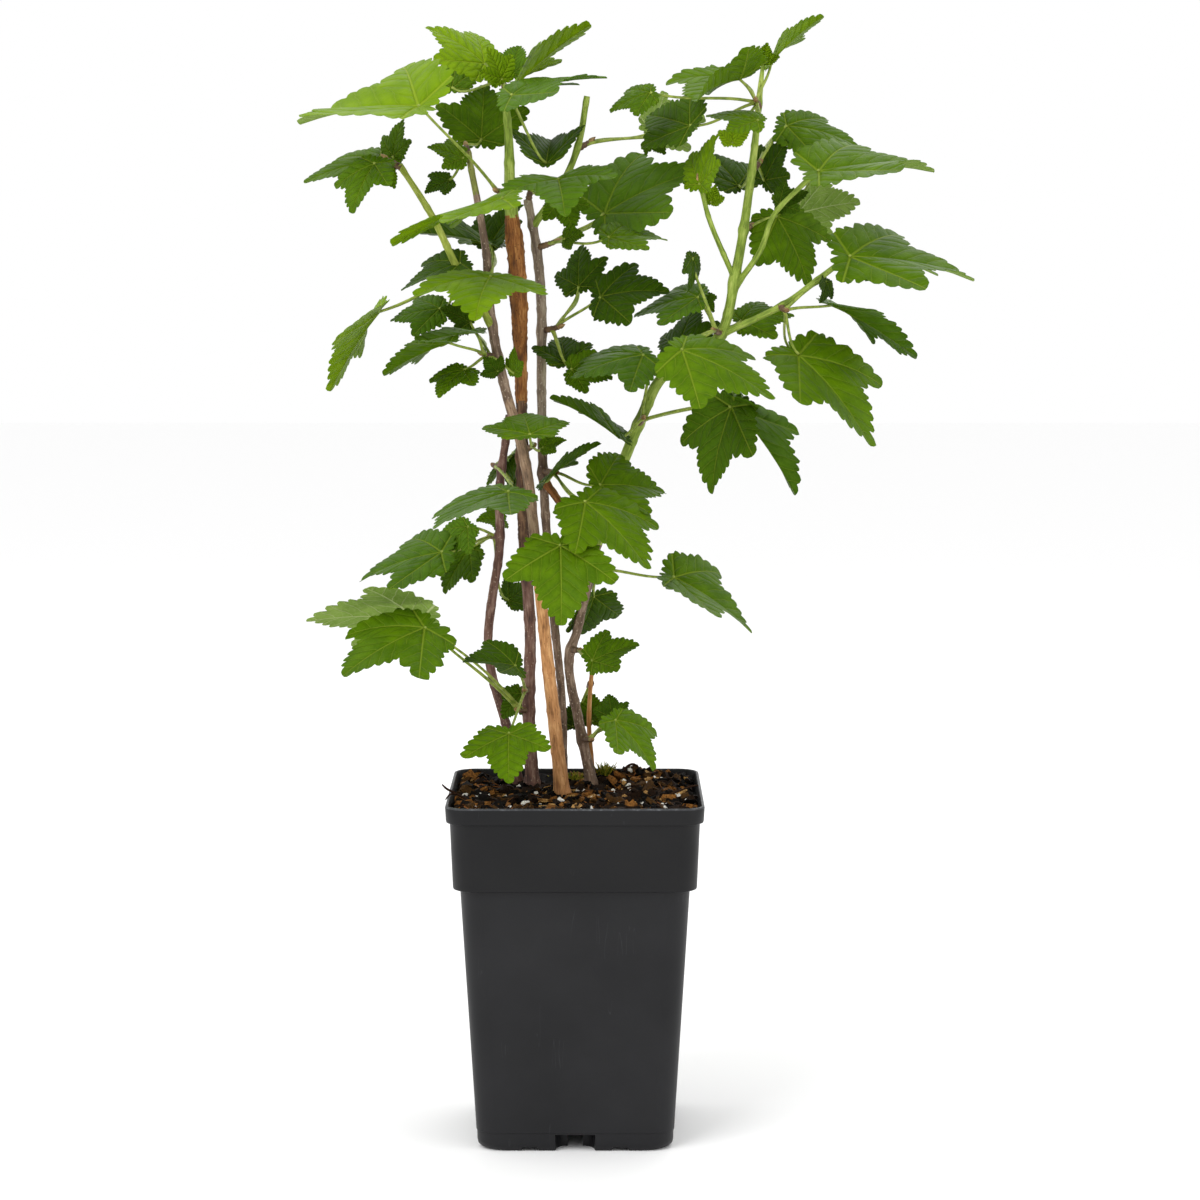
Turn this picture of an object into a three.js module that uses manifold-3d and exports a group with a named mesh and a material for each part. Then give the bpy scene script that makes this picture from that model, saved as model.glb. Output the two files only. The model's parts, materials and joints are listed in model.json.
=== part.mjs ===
// A young white currant bush in a tall square nursery pot.
// Millimetres, +Z up. The origin is on the underside of the pot, at its middle.
// Places on the plant are [right, up, back]: right and up as they line up at the pot's middle
// for an eye in front of the plant, and back is how far behind the pot's middle they lie.
import * as THREE from 'three';
import { mergeVertices } from 'three/addons/utils/BufferGeometryUtils.js';
import Module from 'manifold-3d';

const wasm = await Module();
wasm.setup();

// The eye that right and up are lined up from
const EYE_RIGHT = 14.6;
const EYE_UP = 530.5;
const EYE_AWAY = 1975;

// Clearance between touching pieces, and how far a cut reaches past the face that it opens
const GAP = 0.3;
const CUT_OVER = 1;
const FACET_ROOM = 0.12; // more clearance round a limb, whose flat facets lie inside its round

// Points nearer than this are one point, and a sliver thinner than this is left out of a joint
const WELD = 0.001;
const SLIVER = 0.02;

// Pot: outside half width and corner at each height, and its wall
const POT_HEIGHT = 207;
const POT_CORNER = 13;
const POT_WALL = 1.8;
const POT_FLOOR = 2.6;
const POT_OUTSIDE = [
  { up: 0, half: 55.4, corner: 17 },
  { up: 1.6, half: 57.2, corner: 15 },
  { up: 5, half: 58, corner: POT_CORNER },
  { up: 156.9, half: 67.2, corner: POT_CORNER },
  { up: 158.2, half: 71.2, corner: POT_CORNER },
  { up: 197, half: 72.8, corner: POT_CORNER },
  { up: 197.8, half: 74.8, corner: POT_CORNER },
  { up: POT_HEIGHT, half: 75.4, corner: POT_CORNER },
];
const WALL_ROW = 2; // where the straight wall starts
const CORNER_STEPS = 3;

// Drain channels, one under the middle of each side
const CHANNEL_MOUTH = 23.6;
const CHANNEL_WIDTH = 9;
const CHANNEL_NECK = 13;
const CHANNEL_LENGTH = 44;
const CHANNEL_HEIGHT = 10.1;
const CHANNEL_LEAD = 6; // how far the cut starts outside the wall
const BAND_SET = 1.5; // the step inside the wall lies this much above the one outside

// Potting mix, with a low heap at the back right
const MIX_TOP = 201;
const HEAP = { right: 38, back: 46, reach: 20, height: 6, sides: 14, rings: 8 };

// Limbs: [right, up, back, half thickness] from foot to tip
const STEM_SIDES = 8;
const STEM_STEP = 18;
const FLARE = 0.35;
const FLARE_HEIGHT = 9;
const LINE_PARTS = 200; // parts that a centre line is measured in
const stems = [
  { name: 'front_stem', color: 0xa8794a, path: [
    [-8, 201, 5, 4.3], [-18, 296, -2, 3.6], [-24, 356, -8, 3.2], [-30, 404, -12, 3.1],
    [-42, 448, -14, 2.9], [-49, 483, -12, 2.7], [-53, 530, -14, 2.3], [-63, 585, -18, 1.7]] },
  { name: 'left_stem', color: 0x5d4a40, path: [
    [-34, 207, 46, 2.9], [-40, 239, 40, 2.8], [-52, 290, 32, 2.7], [-45, 353, 28, 2.6],
    [-45, 386, 24, 2.5], [-39, 430, 18, 2.3]] },
  { name: 'middle_stem', color: 0x7a5236, path: [
    [-26, 207, 34, 4.1], [-28, 254, 32, 3.7], [-27, 302, 30, 3.4], [-31, 362, 24, 3.3],
    [-32, 444, 16, 3.4], [-33, 492, 10, 4.9], [-35, 527, 6, 5.2], [-38, 556, 4, 3.6],
    [-39, 592, 4, 2.6], [-41, 618, 4, 1.9]] },
  { name: 'back_stem', color: 0x6b5547, path: [
    [-7, 209, 45, 2.2], [-8, 260, 44, 2.3], [-13, 311, 42, 2.5], [-19, 392, 36, 2.7],
    [-20, 451, 30, 2.9], [-20, 498, 26, 3.0], [-23, 530, 24, 2.7], [-28, 557, 22, 2.2]] },
  { name: 'right_stem', color: 0x5b4740, path: [
    [10, 206, 30, 3.3], [3, 242, 30, 3.0], [-4, 284, 30, 2.8], [1, 302, 30, 2.7],
    [13, 356, 28, 2.8]] },
  { name: 'thin_stem', color: 0xa5703a, path: [[10, 216, 52, 1.5], [8, 248, 52, 1.4], [10, 282, 50, 1.1]] },
];
const boughs = [
  { name: 'right_shoot', parent: 'right_stem', color: 0x7f9a3c, path: [
    [12.6, 354, 28, 2.7], [28, 401, 24, 3.3], [41, 433, 18, 3.3], [51, 452, 14, 3.2],
    [84, 475, 8, 3.0], [95, 516, 4, 2.9], [103, 568, 0, 2.4], [108, 615, 0, 1.7], [110, 636, 0, 1.1]] },
  { name: 'left_shoot', parent: 'front_stem', color: 0x8a9a3a, path: [
    [-49, 483, -12, 2.3], [-69, 516, -20, 2.2], [-84, 547, -22, 2.0], [-103, 577, -18, 1.6]] },
  { name: 'left_branch', parent: 'right_shoot', color: 0x7f9a3c, path: [
    [94, 510, 4, 1.6], [79, 545, -6, 1.5], [74, 564, -8, 1.3]] },
  { name: 'right_branch', parent: 'right_shoot', color: 0x7f9a3c, path: [
    [94.5, 506, 5, 1.8], [109, 527, -4, 1.6], [117, 548, -8, 1.5], [141, 572, -10, 1.3]] },
  { name: 'side_shoot', parent: 'right_shoot', color: 0x7f9a3c, path: [
    [85, 477, 8, 2.0], [124, 496, -4, 1.9], [143, 510, -10, 1.8], [160, 523, -14, 1.5]] },
  { name: 'cut_twig', parent: 'back_stem', color: 0x66802e, path: [
    [-25, 541, 23, 2.1], [-6, 569, 16, 2.0], [2, 589, 13, 1.9], [7, 617, 12, 1.8]] },
  { name: 'broken_stub', parent: 'back_stem', color: 0x6a4a34, path: [
    [-19, 392, 36, 2.4], [-8, 377, 25, 2.1]] },
];

// Leaf blade: turn from the midrib in degrees and reach as a share of the leaf's length
const HALF_BLADE = [[19, 0.75], [31, 0.6], [51, 0.8], [79, 0.43], [102, 0.37], [137, 0.2]];
const BLADE_MIDDLE = 0.3;
const BLADE_NOTCH = 0.09;
const BLADE_THICK = 1.2;
const BLADE_DROOP = 0.2;
const BLADE_TWIST = 0.25; // share of its roll that the blade has lost at its foot
const MOST_ROLL = 120; // a leaf that rolls further shows its underside and has no twist
const STALK_HALF = 0.95;
const STALK_SIDES = 3;
const STALK_STEPS = 3;
const STALK_START = 0.35; // shares of the stalk's length that shape its curve
const STALK_RISE = 0.05;
const STALK_BACK = 0.24;
const STALK_ALONG = 0.14;
const STALK_UNDER = 0.12;
const SPUR_FOOT = 2.1;
const SPUR_TIP = 1.5;
const SPUR_SIDES = 5;
const SPUR_SPREAD = 0.55;

// The leaf that stands behind another one, and the numbers that its turn is drawn with
const TWIN_SIZE = 0.75;
const TWIN_TURN = 4;
const FIRST_SEED = 100;
const SEED_FACTOR = 1664525;
const SEED_STEP = 1013904223;
const SEED_ROUND = 2 ** 32;

// Sprays of leaves: the limb each one grows from, how high, and the tip of its spur.
// Each leaf is [right, up, back] of the point where stalk and blade join, then its length,
// the way it points as seen from in front (0 right, 90 up), how far it leans to the eye,
// its roll round the midrib, how steeply its halves fold up, and for some how far behind it
// a second leaf stands.
const sprays = [
  { name: 'crown_tip_leaves', limb: 'middle_stem', up: 616, spur: [-42, 626, 4], leaves: [
    [-53, 636, 6, 40, 137, -3, -63, 0, 56], [-72, 622, 34, 32, 85, -40, 20, 0.2],
    [-37, 630, 44, 22, 80, -25, 10, 0.5], [-38, 620, -2, 60, 48, 3, 114, 0.12],
    [-37, 618, -62, 54, 20, 5, 94, 0.05, 112], [-17, 578, 6, 34, 84, -54, 10, 0.85],
    [-43, 627, -8, 20, 108, 20, -40, 0.2]] },
  { name: 'upper_node_leaves', limb: 'middle_stem', up: 560, spur: [-46, 562, -12], leaves: [
    [-92, 612, -58, 81, 174, -29, -81, 0.33], [-43, 558, -74, 66, 190, -1, -106, 0]] },
  { name: 'front_top_leaves', limb: 'front_stem', up: 583, spur: [-64, 588, -8], leaves: [
    [-55, 592, 20, 41, 88, -28, -3, 0.3], [-66, 581, -22, 21, 154, 15, -56, 0.05],
    [-74, 568, -4, 16, 199, 20, -50, 0.2]] },
  { name: 'left_tip_leaves', limb: 'left_shoot', up: 575, spur: [-110, 580, -16], leaves: [
    [-107, 582, 6, 22, 85, 5, 56, 0.05, 40], [-115, 580, 8, 46, 188, 12, -82, 0],
    [-118, 578, -44, 34, 237, 34, -56, 0.1], [-116, 578, -16, 18, 310, 20, 30, 0.2]] },
  { name: 'left_shoot_leaves', limb: 'left_shoot', up: 510, spur: [-73, 508, -22], leaves: [
    [-116, 491, -38, 53, 229, -1, -116, 0.2, 70], [-80, 493, 24, 30, 184, 0, -66, 0],
    [-68, 520, -20, 37, 195, 9, -84, 0.1]] },
  { name: 'front_mid_leaves', limb: 'front_stem', up: 511, spur: [-49, 512, -24], leaves: [
    [-50, 531, 20, 46, 160, -11, -118, 0.2, 48], [-50, 512, -46, 57, 236, 76, -38, 0.1],
    [-50, 531, 30, 32, 61, -15, 63, 0.35]] },
  { name: 'front_low_leaves', limb: 'front_stem', up: 464, spur: [-54, 466, -18], leaves: [
    [-59, 479, -12, 38, 181, 2, -118, 0.16, 62], [-75, 473, -46, 41, 195, 2, -118, 0.15],
    [-66, 457, -26, 27, 214, 46, -70, 0.1], [-46, 456, -24, 13, 133, 37, 0, 0.2],
    [-36, 455, -24, 15, 97, 11, 66, 0.1], [-62, 485, 14, 20, 146, 36, -30, 0.2]] },
  { name: 'back_top_leaves', limb: 'back_stem', up: 555, spur: [-26, 564, 18], leaves: [
    [-10, 569, -24, 49, 289, 77, 14, 0.3], [-9, 556, -2, 22, 299, 40, 20, 0.2, 58]] },
  { name: 'cut_twig_leaves', limb: 'cut_twig', up: 586, spur: [8, 590, 16], leaves: [
    [45, 596, 38, 33, 20, 5, 150, 0.4], [45, 593, 16, 14, 308, 40, 0, 0.2]] },
  { name: 'back_upper_leaves', limb: 'back_stem', up: 528, spur: [-12, 532, 16], leaves: [
    [17, 549, 14, 68, 35, 5, 70, 0.1, 64], [20, 535, -24, 34, 8, -10, 80, 0.1],
    [-6, 534, 0, 14, 19, 45, 40, 0.2]] },
  { name: 'back_mid_leaves', limb: 'back_stem', up: 478, spur: [-10, 482, 20], leaves: [
    [2, 506, 30, 29, 94, -25, 38, 0, 40], [15, 500, 12, 41, 14, 20, 58, 0.15],
    [-6, 461, 14, 28, 98, -47, -8, 0.2], [-2, 457, 4, 24, 355, 12, 35, 0.2]] },
  { name: 'right_low_leaves', limb: 'right_shoot', up: 424, spur: [40, 428, 8], leaves: [
    [26, 417, -6, 47, 141, 3, -118, 0.28], [40, 466, -18, 47, 186, 27, -85, -0.08, 66],
    [92, 435, -34, 51, 249, 11, -60, 0.1, 70], [94, 436, -22, 62, 316, -2, 118, 0.32]] },
  { name: 'right_mid_leaves', limb: 'right_shoot', up: 478, spur: [82, 480, -4], leaves: [
    [63, 469, -66, 59, 343, 20, 73, -0.15], [61, 469, 16, 33, 76, -30, 54, 0, 46],
    [72, 500, 4, 39, 185, -10, -80, 0], [69, 523, -10, 21, 272, 10, 82, 0.1],
    [98, 486, 20, 31, 17, 0, 68, 0, 40], [74, 500, 10, 12, 315, 20, 30, 0.2]] },
  { name: 'side_shoot_leaves', limb: 'side_shoot', up: 521, spur: [163, 526, -18], leaves: [
    [162, 524, -42, 72, 1, -4, 78, 0.12, 94]] },
  { name: 'side_shoot_low_leaves', limb: 'side_shoot', up: 494, spur: [124, 492, -10], leaves: [
    [152, 495, 4, 58, 336, 8, 118, 0.1], [148, 509, -10, 14, 260, 24, 65, 0.2],
    [132, 466, 0, 70, 320, 26, 72, 0.18, 60]] },
  { name: 'right_branch_leaves', limb: 'right_branch', up: 570, spur: [143, 575, -14], leaves: [
    [143, 574, -46, 67, 11, -10, 87, 0.25], [131, 549, 66, 38, 16, -10, 138, 0],
    [120, 554, -2, 18, 30, 10, 40, 0.2]] },
  { name: 'right_node_leaves', limb: 'right_shoot', up: 572, spur: [108, 578, 6], leaves: [
    [124, 600, 24, 43, 355, 11, 70, 0, 50], [111, 568, 22, 28, 70, 26, 58, 0],
    [96, 565, 44, 36, 123, -35, -50, 0.2]] },
  { name: 'right_upper_leaves', limb: 'right_shoot', up: 538, spur: [103, 541, 8], leaves: [
    [119, 547, 19, 44, 300, 19, 38, 0, 60]] },
  { name: 'left_branch_leaves', limb: 'left_branch', up: 563, spur: [73, 567, -9], leaves: [
    [73, 566, -12, 31, 78, 5, 72, 0.2], [80, 555, -4, 11, 77, 32, 0, 0.2]] },
  { name: 'right_top_leaves', limb: 'right_shoot', up: 610, spur: [106, 614, -8], leaves: [
    [115, 637, 8, 39, 54, 4, 118, 0.15], [96, 627, -30, 50, 193, 52, -113, 0.6, 78],
    [44, 619, -22, 25, 194, 3, -66, 0], [67, 600, -14, 40, 157, -45, -25, 0.2],
    [107, 603, -46, 29, 165, -2, -80, 0], [110, 637, 0, 13, 80, 48, 0, 0.2],
    [92, 590, -34, 15, 85, 20, -20, 0.3]] },
  { name: 'middle_leaves', limb: 'middle_stem', up: 408, spur: [-25, 412, 2], leaves: [
    [-27, 419, -64, 39, 108, -66, -20, 0.05], [-19, 411, -26, 14, 27, 10, 62, 0.2]] },
  { name: 'back_low_leaves', limb: 'back_stem', up: 396, spur: [-12, 396, 22], leaves: [
    [-18, 391, 6, 39, 47, -2, 117, 0.1], [15, 389, -6, 43, 2, -22, 62, 0.25, 62],
    [6, 379, -34, 57, 326, 32, 72, 0, 94]] },
  { name: 'left_upper_leaves', limb: 'left_stem', up: 398, spur: [-48, 400, 32], leaves: [
    [-37, 408, 58, 25, 222, 0, -118, 0.05], [-40, 385, -40, 58, 193, 40, -100, 0],
    [-37, 390, 56, 20, 92, 20, 72, 0.1]] },
  { name: 'left_mid_leaves', limb: 'left_stem', up: 358, spur: [-50, 358, 36], leaves: [
    [-80, 349, 10, 52, 187, -11, -78, 0], [-63, 351, 52, 31, 233, 10, -50, 0.2, 34],
    [-40, 320, 66, 20, 34, -35, 10, 0.2], [-43, 368, 52, 17, 168, 30, -62, 0.2],
    [-64, 364, 20, 23, 225, 10, -50, 0.1]] },
  { name: 'left_low_leaves', limb: 'middle_stem', up: 252, spur: [-34, 254, 22], leaves: [
    [-93, 308, -16, 65, 168, 2, -122, 0.1, 62], [-90, 304, -50, 59, 199, 33, -74, 0]] },
  { name: 'foot_leaves', limb: 'middle_stem', up: 266, spur: [-30, 266, 20], leaves: [
    [-36, 281, -24, 32, 163, 22, -82, 0.3], [-40, 240, -36, 39, 271, 58, -6, 0.25],
    [-32, 264, 34, 19, 228, 10, -20, 0.2]] },
  { name: 'heart_leaves', limb: 'front_stem', up: 338, spur: [-20, 340, -18], leaves: [
    [-9, 353, -62, 51, 273, 43, 10, 0.15]] },
  { name: 'right_heart_leaves', limb: 'right_stem', up: 338, spur: [14, 338, 16], leaves: [
    [11, 322, 38, 35, 258, -26, 54, 0.35, 40], [59, 334, 0, 56, 336, -3, 87, 0.25]] },
  { name: 'right_knee_leaves', limb: 'right_stem', up: 290, spur: [2, 290, 18], leaves: [
    [10, 284, -14, 29, 28, 8, 62, 0.2, 58]] },
  { name: 'right_foot_leaves', limb: 'right_stem', up: 236, spur: [9, 236, 18], leaves: [
    [24, 248, -10, 37, 320, 19, 76, 0.1, 60], [22, 249, 4, 17, 100, -30, 0, 0.2]] },
  { name: 'thin_stem_leaves', limb: 'thin_stem', up: 270, spur: [8, 268, 60], leaves: [
    [10, 247, 70, 22, 94, 35, 0, 0.2], [-2, 244, 66, 17, 90, 35, 0, 0.2]] },
];

// Turn a place lined up from the eye into a real place in the part's frame
function place([right, up, back]) {
  const further = 1 + back / EYE_AWAY;
  return new THREE.Vector3(
    EYE_RIGHT + (right - EYE_RIGHT) * further, back, EYE_UP + (up - EYE_UP) * further);
}

// Vertices and triangles as a mesh geometry
function geometryOf(points, faces) {
  const geometry = new THREE.BufferGeometry();
  geometry.setAttribute('position', new THREE.Float32BufferAttribute(points.flatMap((p) => p.toArray()), 3));
  geometry.setIndex(faces.flat());
  return geometry;
}

// A closed mesh geometry as a solid that can be joined and cut
function solidOf(source) {
  let geometry = source.clone();
  geometry.deleteAttribute('normal');
  geometry.deleteAttribute('uv');
  geometry = mergeVertices(geometry, WELD);
  return new wasm.Manifold(new wasm.Mesh({
    numProp: 3,
    vertProperties: new Float32Array(geometry.attributes.position.array),
    triVerts: new Uint32Array(geometry.index.array),
  }));
}

// A joined or cut solid back as a mesh geometry
function geometryFrom(solid) {
  const mesh = solid.getMesh();
  const geometry = new THREE.BufferGeometry();
  geometry.setAttribute('position', new THREE.BufferAttribute(new Float32Array(mesh.vertProperties), 3));
  geometry.setIndex(new THREE.BufferAttribute(new Uint32Array(mesh.triVerts), 1));
  return geometry;
}

// The largest body of a solid, without the scraps and slivers that cuts and joins leave:
// these are taken out again until the welded skin is one body
function mainBody(solid) {
  let body = solid;
  do {
    const bodies = body.asOriginal().simplify(SLIVER).decompose();
    const main = bodies.reduce((best, other) => (other.volume() > best.volume() ? other : best));
    body = solidOf(geometryFrom(main));
  } while (body.decompose().length > 1);
  return body;
}

// Closed skin over a stack of rings that all have the same number of points
function skinOf(rings) {
  const count = rings[0].length;
  const points = rings.flat();
  const faces = [];
  for (let ring = 0; ring < rings.length - 1; ring += 1) {
    for (let k = 0; k < count; k += 1) {
      const a = ring * count + k;
      const b = ring * count + ((k + 1) % count);
      faces.push([a, b, b + count], [a, b + count, a + count]);
    }
  }
  const last = (rings.length - 1) * count;
  for (let k = 1; k < count - 1; k += 1) {
    faces.push([0, k + 1, k], [last, last + k, last + k + 1]);
  }
  return geometryOf(points, faces);
}

// Tapering round limb along a curve; halfAt gives its half thickness from foot to tip
function limbSkin(curve, halfAt, sides, steps, flatFoot = false) {
  const rings = [];
  const across = new THREE.Vector3(0, 1, 0);
  for (let i = 0; i <= steps; i += 1) {
    const along = i === 0 && flatFoot ? new THREE.Vector3(0, 0, 1) : curve.getTangentAt(i / steps);
    const side = across.clone().addScaledVector(along, -across.dot(along)).normalize();
    across.copy(side);
    const front = new THREE.Vector3().crossVectors(along, side);
    const centre = curve.getPointAt(i / steps);
    const half = halfAt(i / steps);
    rings.push(Array.from({ length: sides }, (_, k) => {
      const turn = (2 * Math.PI * k) / sides;
      return centre.clone()
        .addScaledVector(side, half * Math.cos(turn))
        .addScaledVector(front, half * Math.sin(turn));
    }));
  }
  return skinOf(rings);
}

// Ring of points round a square with rounded corners
function squareRing(up, half, corner) {
  const ring = [];
  for (let quarter = 0; quarter < 4; quarter += 1) {
    const middle = quarter * Math.PI / 2 + Math.PI / 4;
    const x = Math.SQRT2 * (half - corner) * Math.cos(middle);
    const y = Math.SQRT2 * (half - corner) * Math.sin(middle);
    for (let k = 0; k <= CORNER_STEPS; k += 1) {
      const turn = quarter * Math.PI / 2 + (k / CORNER_STEPS) * Math.PI / 2;
      ring.push(new THREE.Vector3(x + corner * Math.cos(turn), y + corner * Math.sin(turn), up));
    }
  }
  return ring;
}

// Space inside the pot, drawn in from the outside by a wall: it steps out where the band starts
// and runs on straight behind the lip
function potInside(wall, bottom, top) {
  const [foot, bandFoot, bandStart, bandTop] = POT_OUTSIDE.slice(WALL_ROW);
  const taper = (low, high, up) => low.half + ((up - low.up) / (high.up - low.up)) * (high.half - low.half);
  const rows = [
    { up: bottom, half: taper(foot, bandFoot, bottom) },
    { up: bandFoot.up, half: bandFoot.half },
    { up: bandStart.up + BAND_SET, half: taper(bandStart, bandTop, bandStart.up + BAND_SET) },
    { up: top, half: taper(bandStart, bandTop, top) },
  ];
  return skinOf(rows.map((row) => squareRing(row.up, row.half - wall, POT_CORNER - wall)));
}

// Drain channel of the side that faces the eye, or the cover over it, grown all round
function channelBlock(grow, height) {
  const wallFace = -POT_OUTSIDE[WALL_ROW].half;
  const start = wallFace - CHANNEL_LEAD;
  const mouth = CHANNEL_MOUTH / 2 + grow;
  const narrow = CHANNEL_WIDTH / 2 + grow;
  const neck = wallFace + CHANNEL_NECK + grow;
  const end = wallFace + CHANNEL_LENGTH + grow;
  const plan = new THREE.Shape();
  plan.moveTo(-mouth, start);
  plan.lineTo(mouth, start);
  plan.lineTo(mouth, wallFace);
  plan.quadraticCurveTo(mouth, neck, narrow, neck);
  plan.lineTo(narrow, end - narrow);
  plan.absarc(0, end - narrow, narrow, 0, Math.PI, false);
  plan.lineTo(-narrow, neck);
  plan.quadraticCurveTo(-mouth, neck, -mouth, wallFace);
  plan.closePath();
  const block = new THREE.ExtrudeGeometry(plan, {
    depth: height + CUT_OVER, bevelEnabled: false, curveSegments: CORNER_STEPS });
  block.translate(0, 0, -CUT_OVER);
  return block;
}

// The same block under all four sides, joined
function channelBlocks(grow, height) {
  const blocks = [0, 1, 2, 3].map((side) => {
    const block = channelBlock(grow, height);
    block.rotateZ(side * Math.PI / 2);
    return solidOf(block);
  });
  return blocks.reduce((all, block) => all.add(block));
}

function buildPot() {
  const outside = solidOf(skinOf(POT_OUTSIDE.map((row) => squareRing(row.up, row.half, row.corner))));
  const inside = solidOf(potInside(POT_WALL, POT_FLOOR, POT_HEIGHT + CUT_OVER));
  const covers = channelBlocks(POT_WALL, CHANNEL_HEIGHT + POT_WALL).intersect(outside);
  return outside.subtract(inside).add(covers).subtract(channelBlocks(0, CHANNEL_HEIGHT));
}

function buildPottingMix() {
  const body = solidOf(potInside(POT_WALL + GAP, POT_FLOOR + GAP, MIX_TOP));
  const covers = channelBlocks(POT_WALL + GAP, CHANNEL_HEIGHT + POT_WALL + GAP);
  const dome = new THREE.SphereGeometry(HEAP.reach, HEAP.sides, HEAP.rings);
  dome.scale(1, 1, HEAP.height / HEAP.reach);
  dome.translate(HEAP.right, HEAP.back, MIX_TOP);
  return body.subtract(covers).add(solidOf(dome));
}

// Centre line of a limb, and its half thickness along it
function limbLine(path) {
  const points = path.map(place);
  const curve = new THREE.CatmullRomCurve3(points, false, 'centripetal');
  const steps = Math.max(2, Math.round(curve.getLength() / STEM_STEP));
  const lengths = curve.getLengths(LINE_PARTS);
  const total = lengths[LINE_PARTS];
  const at = points.map((_, i) => lengths[Math.round((i / (points.length - 1)) * LINE_PARTS)] / total);
  const halfAt = (share) => {
    const next = Math.max(1, at.findIndex((a) => a >= share));
    const part = (share - at[next - 1]) / (at[next] - at[next - 1]);
    return path[next - 1][3] + part * (path[next][3] - path[next - 1][3]);
  };
  return { curve, halfAt, steps, length: total };
}

// The same limb a little thicker and longer, to cut what must stay clear of it
function limbClearance(line, footFlare) {
  const { curve, halfAt, steps, length } = line;
  const grown = GAP + FACET_ROOM;
  const reach = new THREE.LineCurve3(
    curve.getPointAt(1), curve.getPointAt(1).addScaledVector(curve.getTangentAt(1), grown));
  const body = solidOf(limbSkin(curve, (s) => halfAt(s) * footFlare(s * length) + grown, STEM_SIDES, steps));
  return body.add(solidOf(limbSkin(reach, () => halfAt(1) + grown, STEM_SIDES, 1)));
}

const limbs = {};

function buildStem({ name, path }) {
  const line = limbLine(path);
  const flare = (height) => 1 + FLARE * Math.exp(-height / FLARE_HEIGHT);
  line.curve.points[0].z = MIX_TOP + GAP;
  line.curve.updateArcLengths();
  const solid = solidOf(limbSkin(
    line.curve, (s) => line.halfAt(s) * flare(s * line.length), STEM_SIDES, line.steps, true));
  limbs[name] = { ...line, clearance: limbClearance(line, flare) };
  return solid;
}

function buildBough({ name, parent, path }) {
  const line = limbLine(path);
  const whole = solidOf(limbSkin(line.curve, line.halfAt, STEM_SIDES, line.steps));
  limbs[name] = { ...line, clearance: limbClearance(line, () => 1) };
  return mainBody(whole.subtract(limbs[parent].clearance));
}

// The place on a limb's centre line at a height lined up from the eye
function limbPlace(limb, up) {
  const { curve } = limbs[limb];
  let share = 0;
  while (share < 1) {
    const point = curve.getPointAt(share);
    const lined = EYE_UP + (point.z - EYE_UP) / (1 + point.y / EYE_AWAY);
    if (lined >= up) return point;
    share += 1 / LINE_PARTS;
  }
  return curve.getPointAt(1);
}

// Directions of a leaf: along its midrib, out of its upper face, and to its side
function leafAxes(heading, lean, roll) {
  const turn = THREE.MathUtils.degToRad(heading);
  const tip = THREE.MathUtils.degToRad(lean);
  const along = new THREE.Vector3(
    Math.cos(turn) * Math.cos(tip), -Math.sin(tip), Math.sin(turn) * Math.cos(tip));
  const facing = new THREE.Vector3(0, -1, 0).addScaledVector(along, along.y).normalize();
  const aside = new THREE.Vector3().crossVectors(facing, along);
  const spin = THREE.MathUtils.degToRad(roll);
  const out = facing.clone().multiplyScalar(Math.cos(spin)).addScaledVector(aside, Math.sin(spin));
  return { along, out, side: new THREE.Vector3().crossVectors(out, along) };
}

// Thin lobed blade, folded up a little from its midrib and drooping to its edge.
// It is thickest a third of the way up the midrib and thins out to its edge.
function bladeSkin(joint, leaf) {
  const twist = Math.abs(leaf.roll) > MOST_ROLL ? 0 : BLADE_TWIST;
  const right = HALF_BLADE.map(([turn, reach]) => [-turn, reach]).reverse();
  const outline = [...right, [0, 1], ...HALF_BLADE, [180, BLADE_NOTCH]];
  const at = (x, y, lift) => {
    const axes = leafAxes(leaf.heading, leaf.lean, leaf.roll * (1 - twist * (1 - x)));
    const rise = (leaf.fold * Math.abs(y) - BLADE_DROOP * (x * x + y * y)) * leaf.length + lift;
    return joint.clone().addScaledVector(axes.along, x * leaf.length)
      .addScaledVector(axes.side, y * leaf.length).addScaledVector(axes.out, rise);
  };
  const edge = outline.map(([turn, reach]) => {
    const angle = THREE.MathUtils.degToRad(turn);
    return at(reach * Math.cos(angle), reach * Math.sin(angle), 0);
  });
  const upper = at(BLADE_MIDDLE, 0, BLADE_THICK / 2);
  const under = at(BLADE_MIDDLE, 0, -BLADE_THICK / 2);
  const count = edge.length;
  const faces = edge.flatMap((_, k) => {
    const next = (k + 1) % count;
    return [[count, k, next], [count + 1, next, k]];
  });
  return geometryOf([...edge, upper, under], faces);
}

// Stalk from the spur to the underside of the blade's foot
function stalkSkin(start, joint, axes) {
  const reach = start.distanceTo(joint);
  const first = start.clone().lerp(joint, STALK_START).add(new THREE.Vector3(0, 0, STALK_RISE * reach));
  const second = joint.clone().lerp(start, STALK_BACK)
    .addScaledVector(axes.along, -STALK_ALONG * reach)
    .addScaledVector(axes.out, -STALK_UNDER * reach);
  const curve = new THREE.CubicBezierCurve3(start, first, second, joint);
  return limbSkin(curve, () => STALK_HALF, STALK_SIDES, STALK_STEPS);
}

// Evenly spread numbers from a seed, the same on every run
function seeded(seed) {
  let state = seed;
  return () => {
    state = (state * SEED_FACTOR + SEED_STEP) % SEED_ROUND;
    return state / SEED_ROUND;
  };
}

// The leaves of a spray, with the second leaves behind some of them
function leavesOf(spray, seed) {
  const next = seeded(seed);
  return spray.leaves.flatMap(([right, up, back, length, heading, lean, roll, fold, behind]) => {
    const leaf = { right, up, back, length, heading, lean, roll, fold };
    if (!behind) return [leaf];
    const turned = heading + TWIN_TURN * (2 * next() - 1);
    const twin = { right, up, back: back + behind, length: length * TWIN_SIZE,
      heading: turned, lean, roll, fold };
    return [leaf, twin];
  });
}

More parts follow.
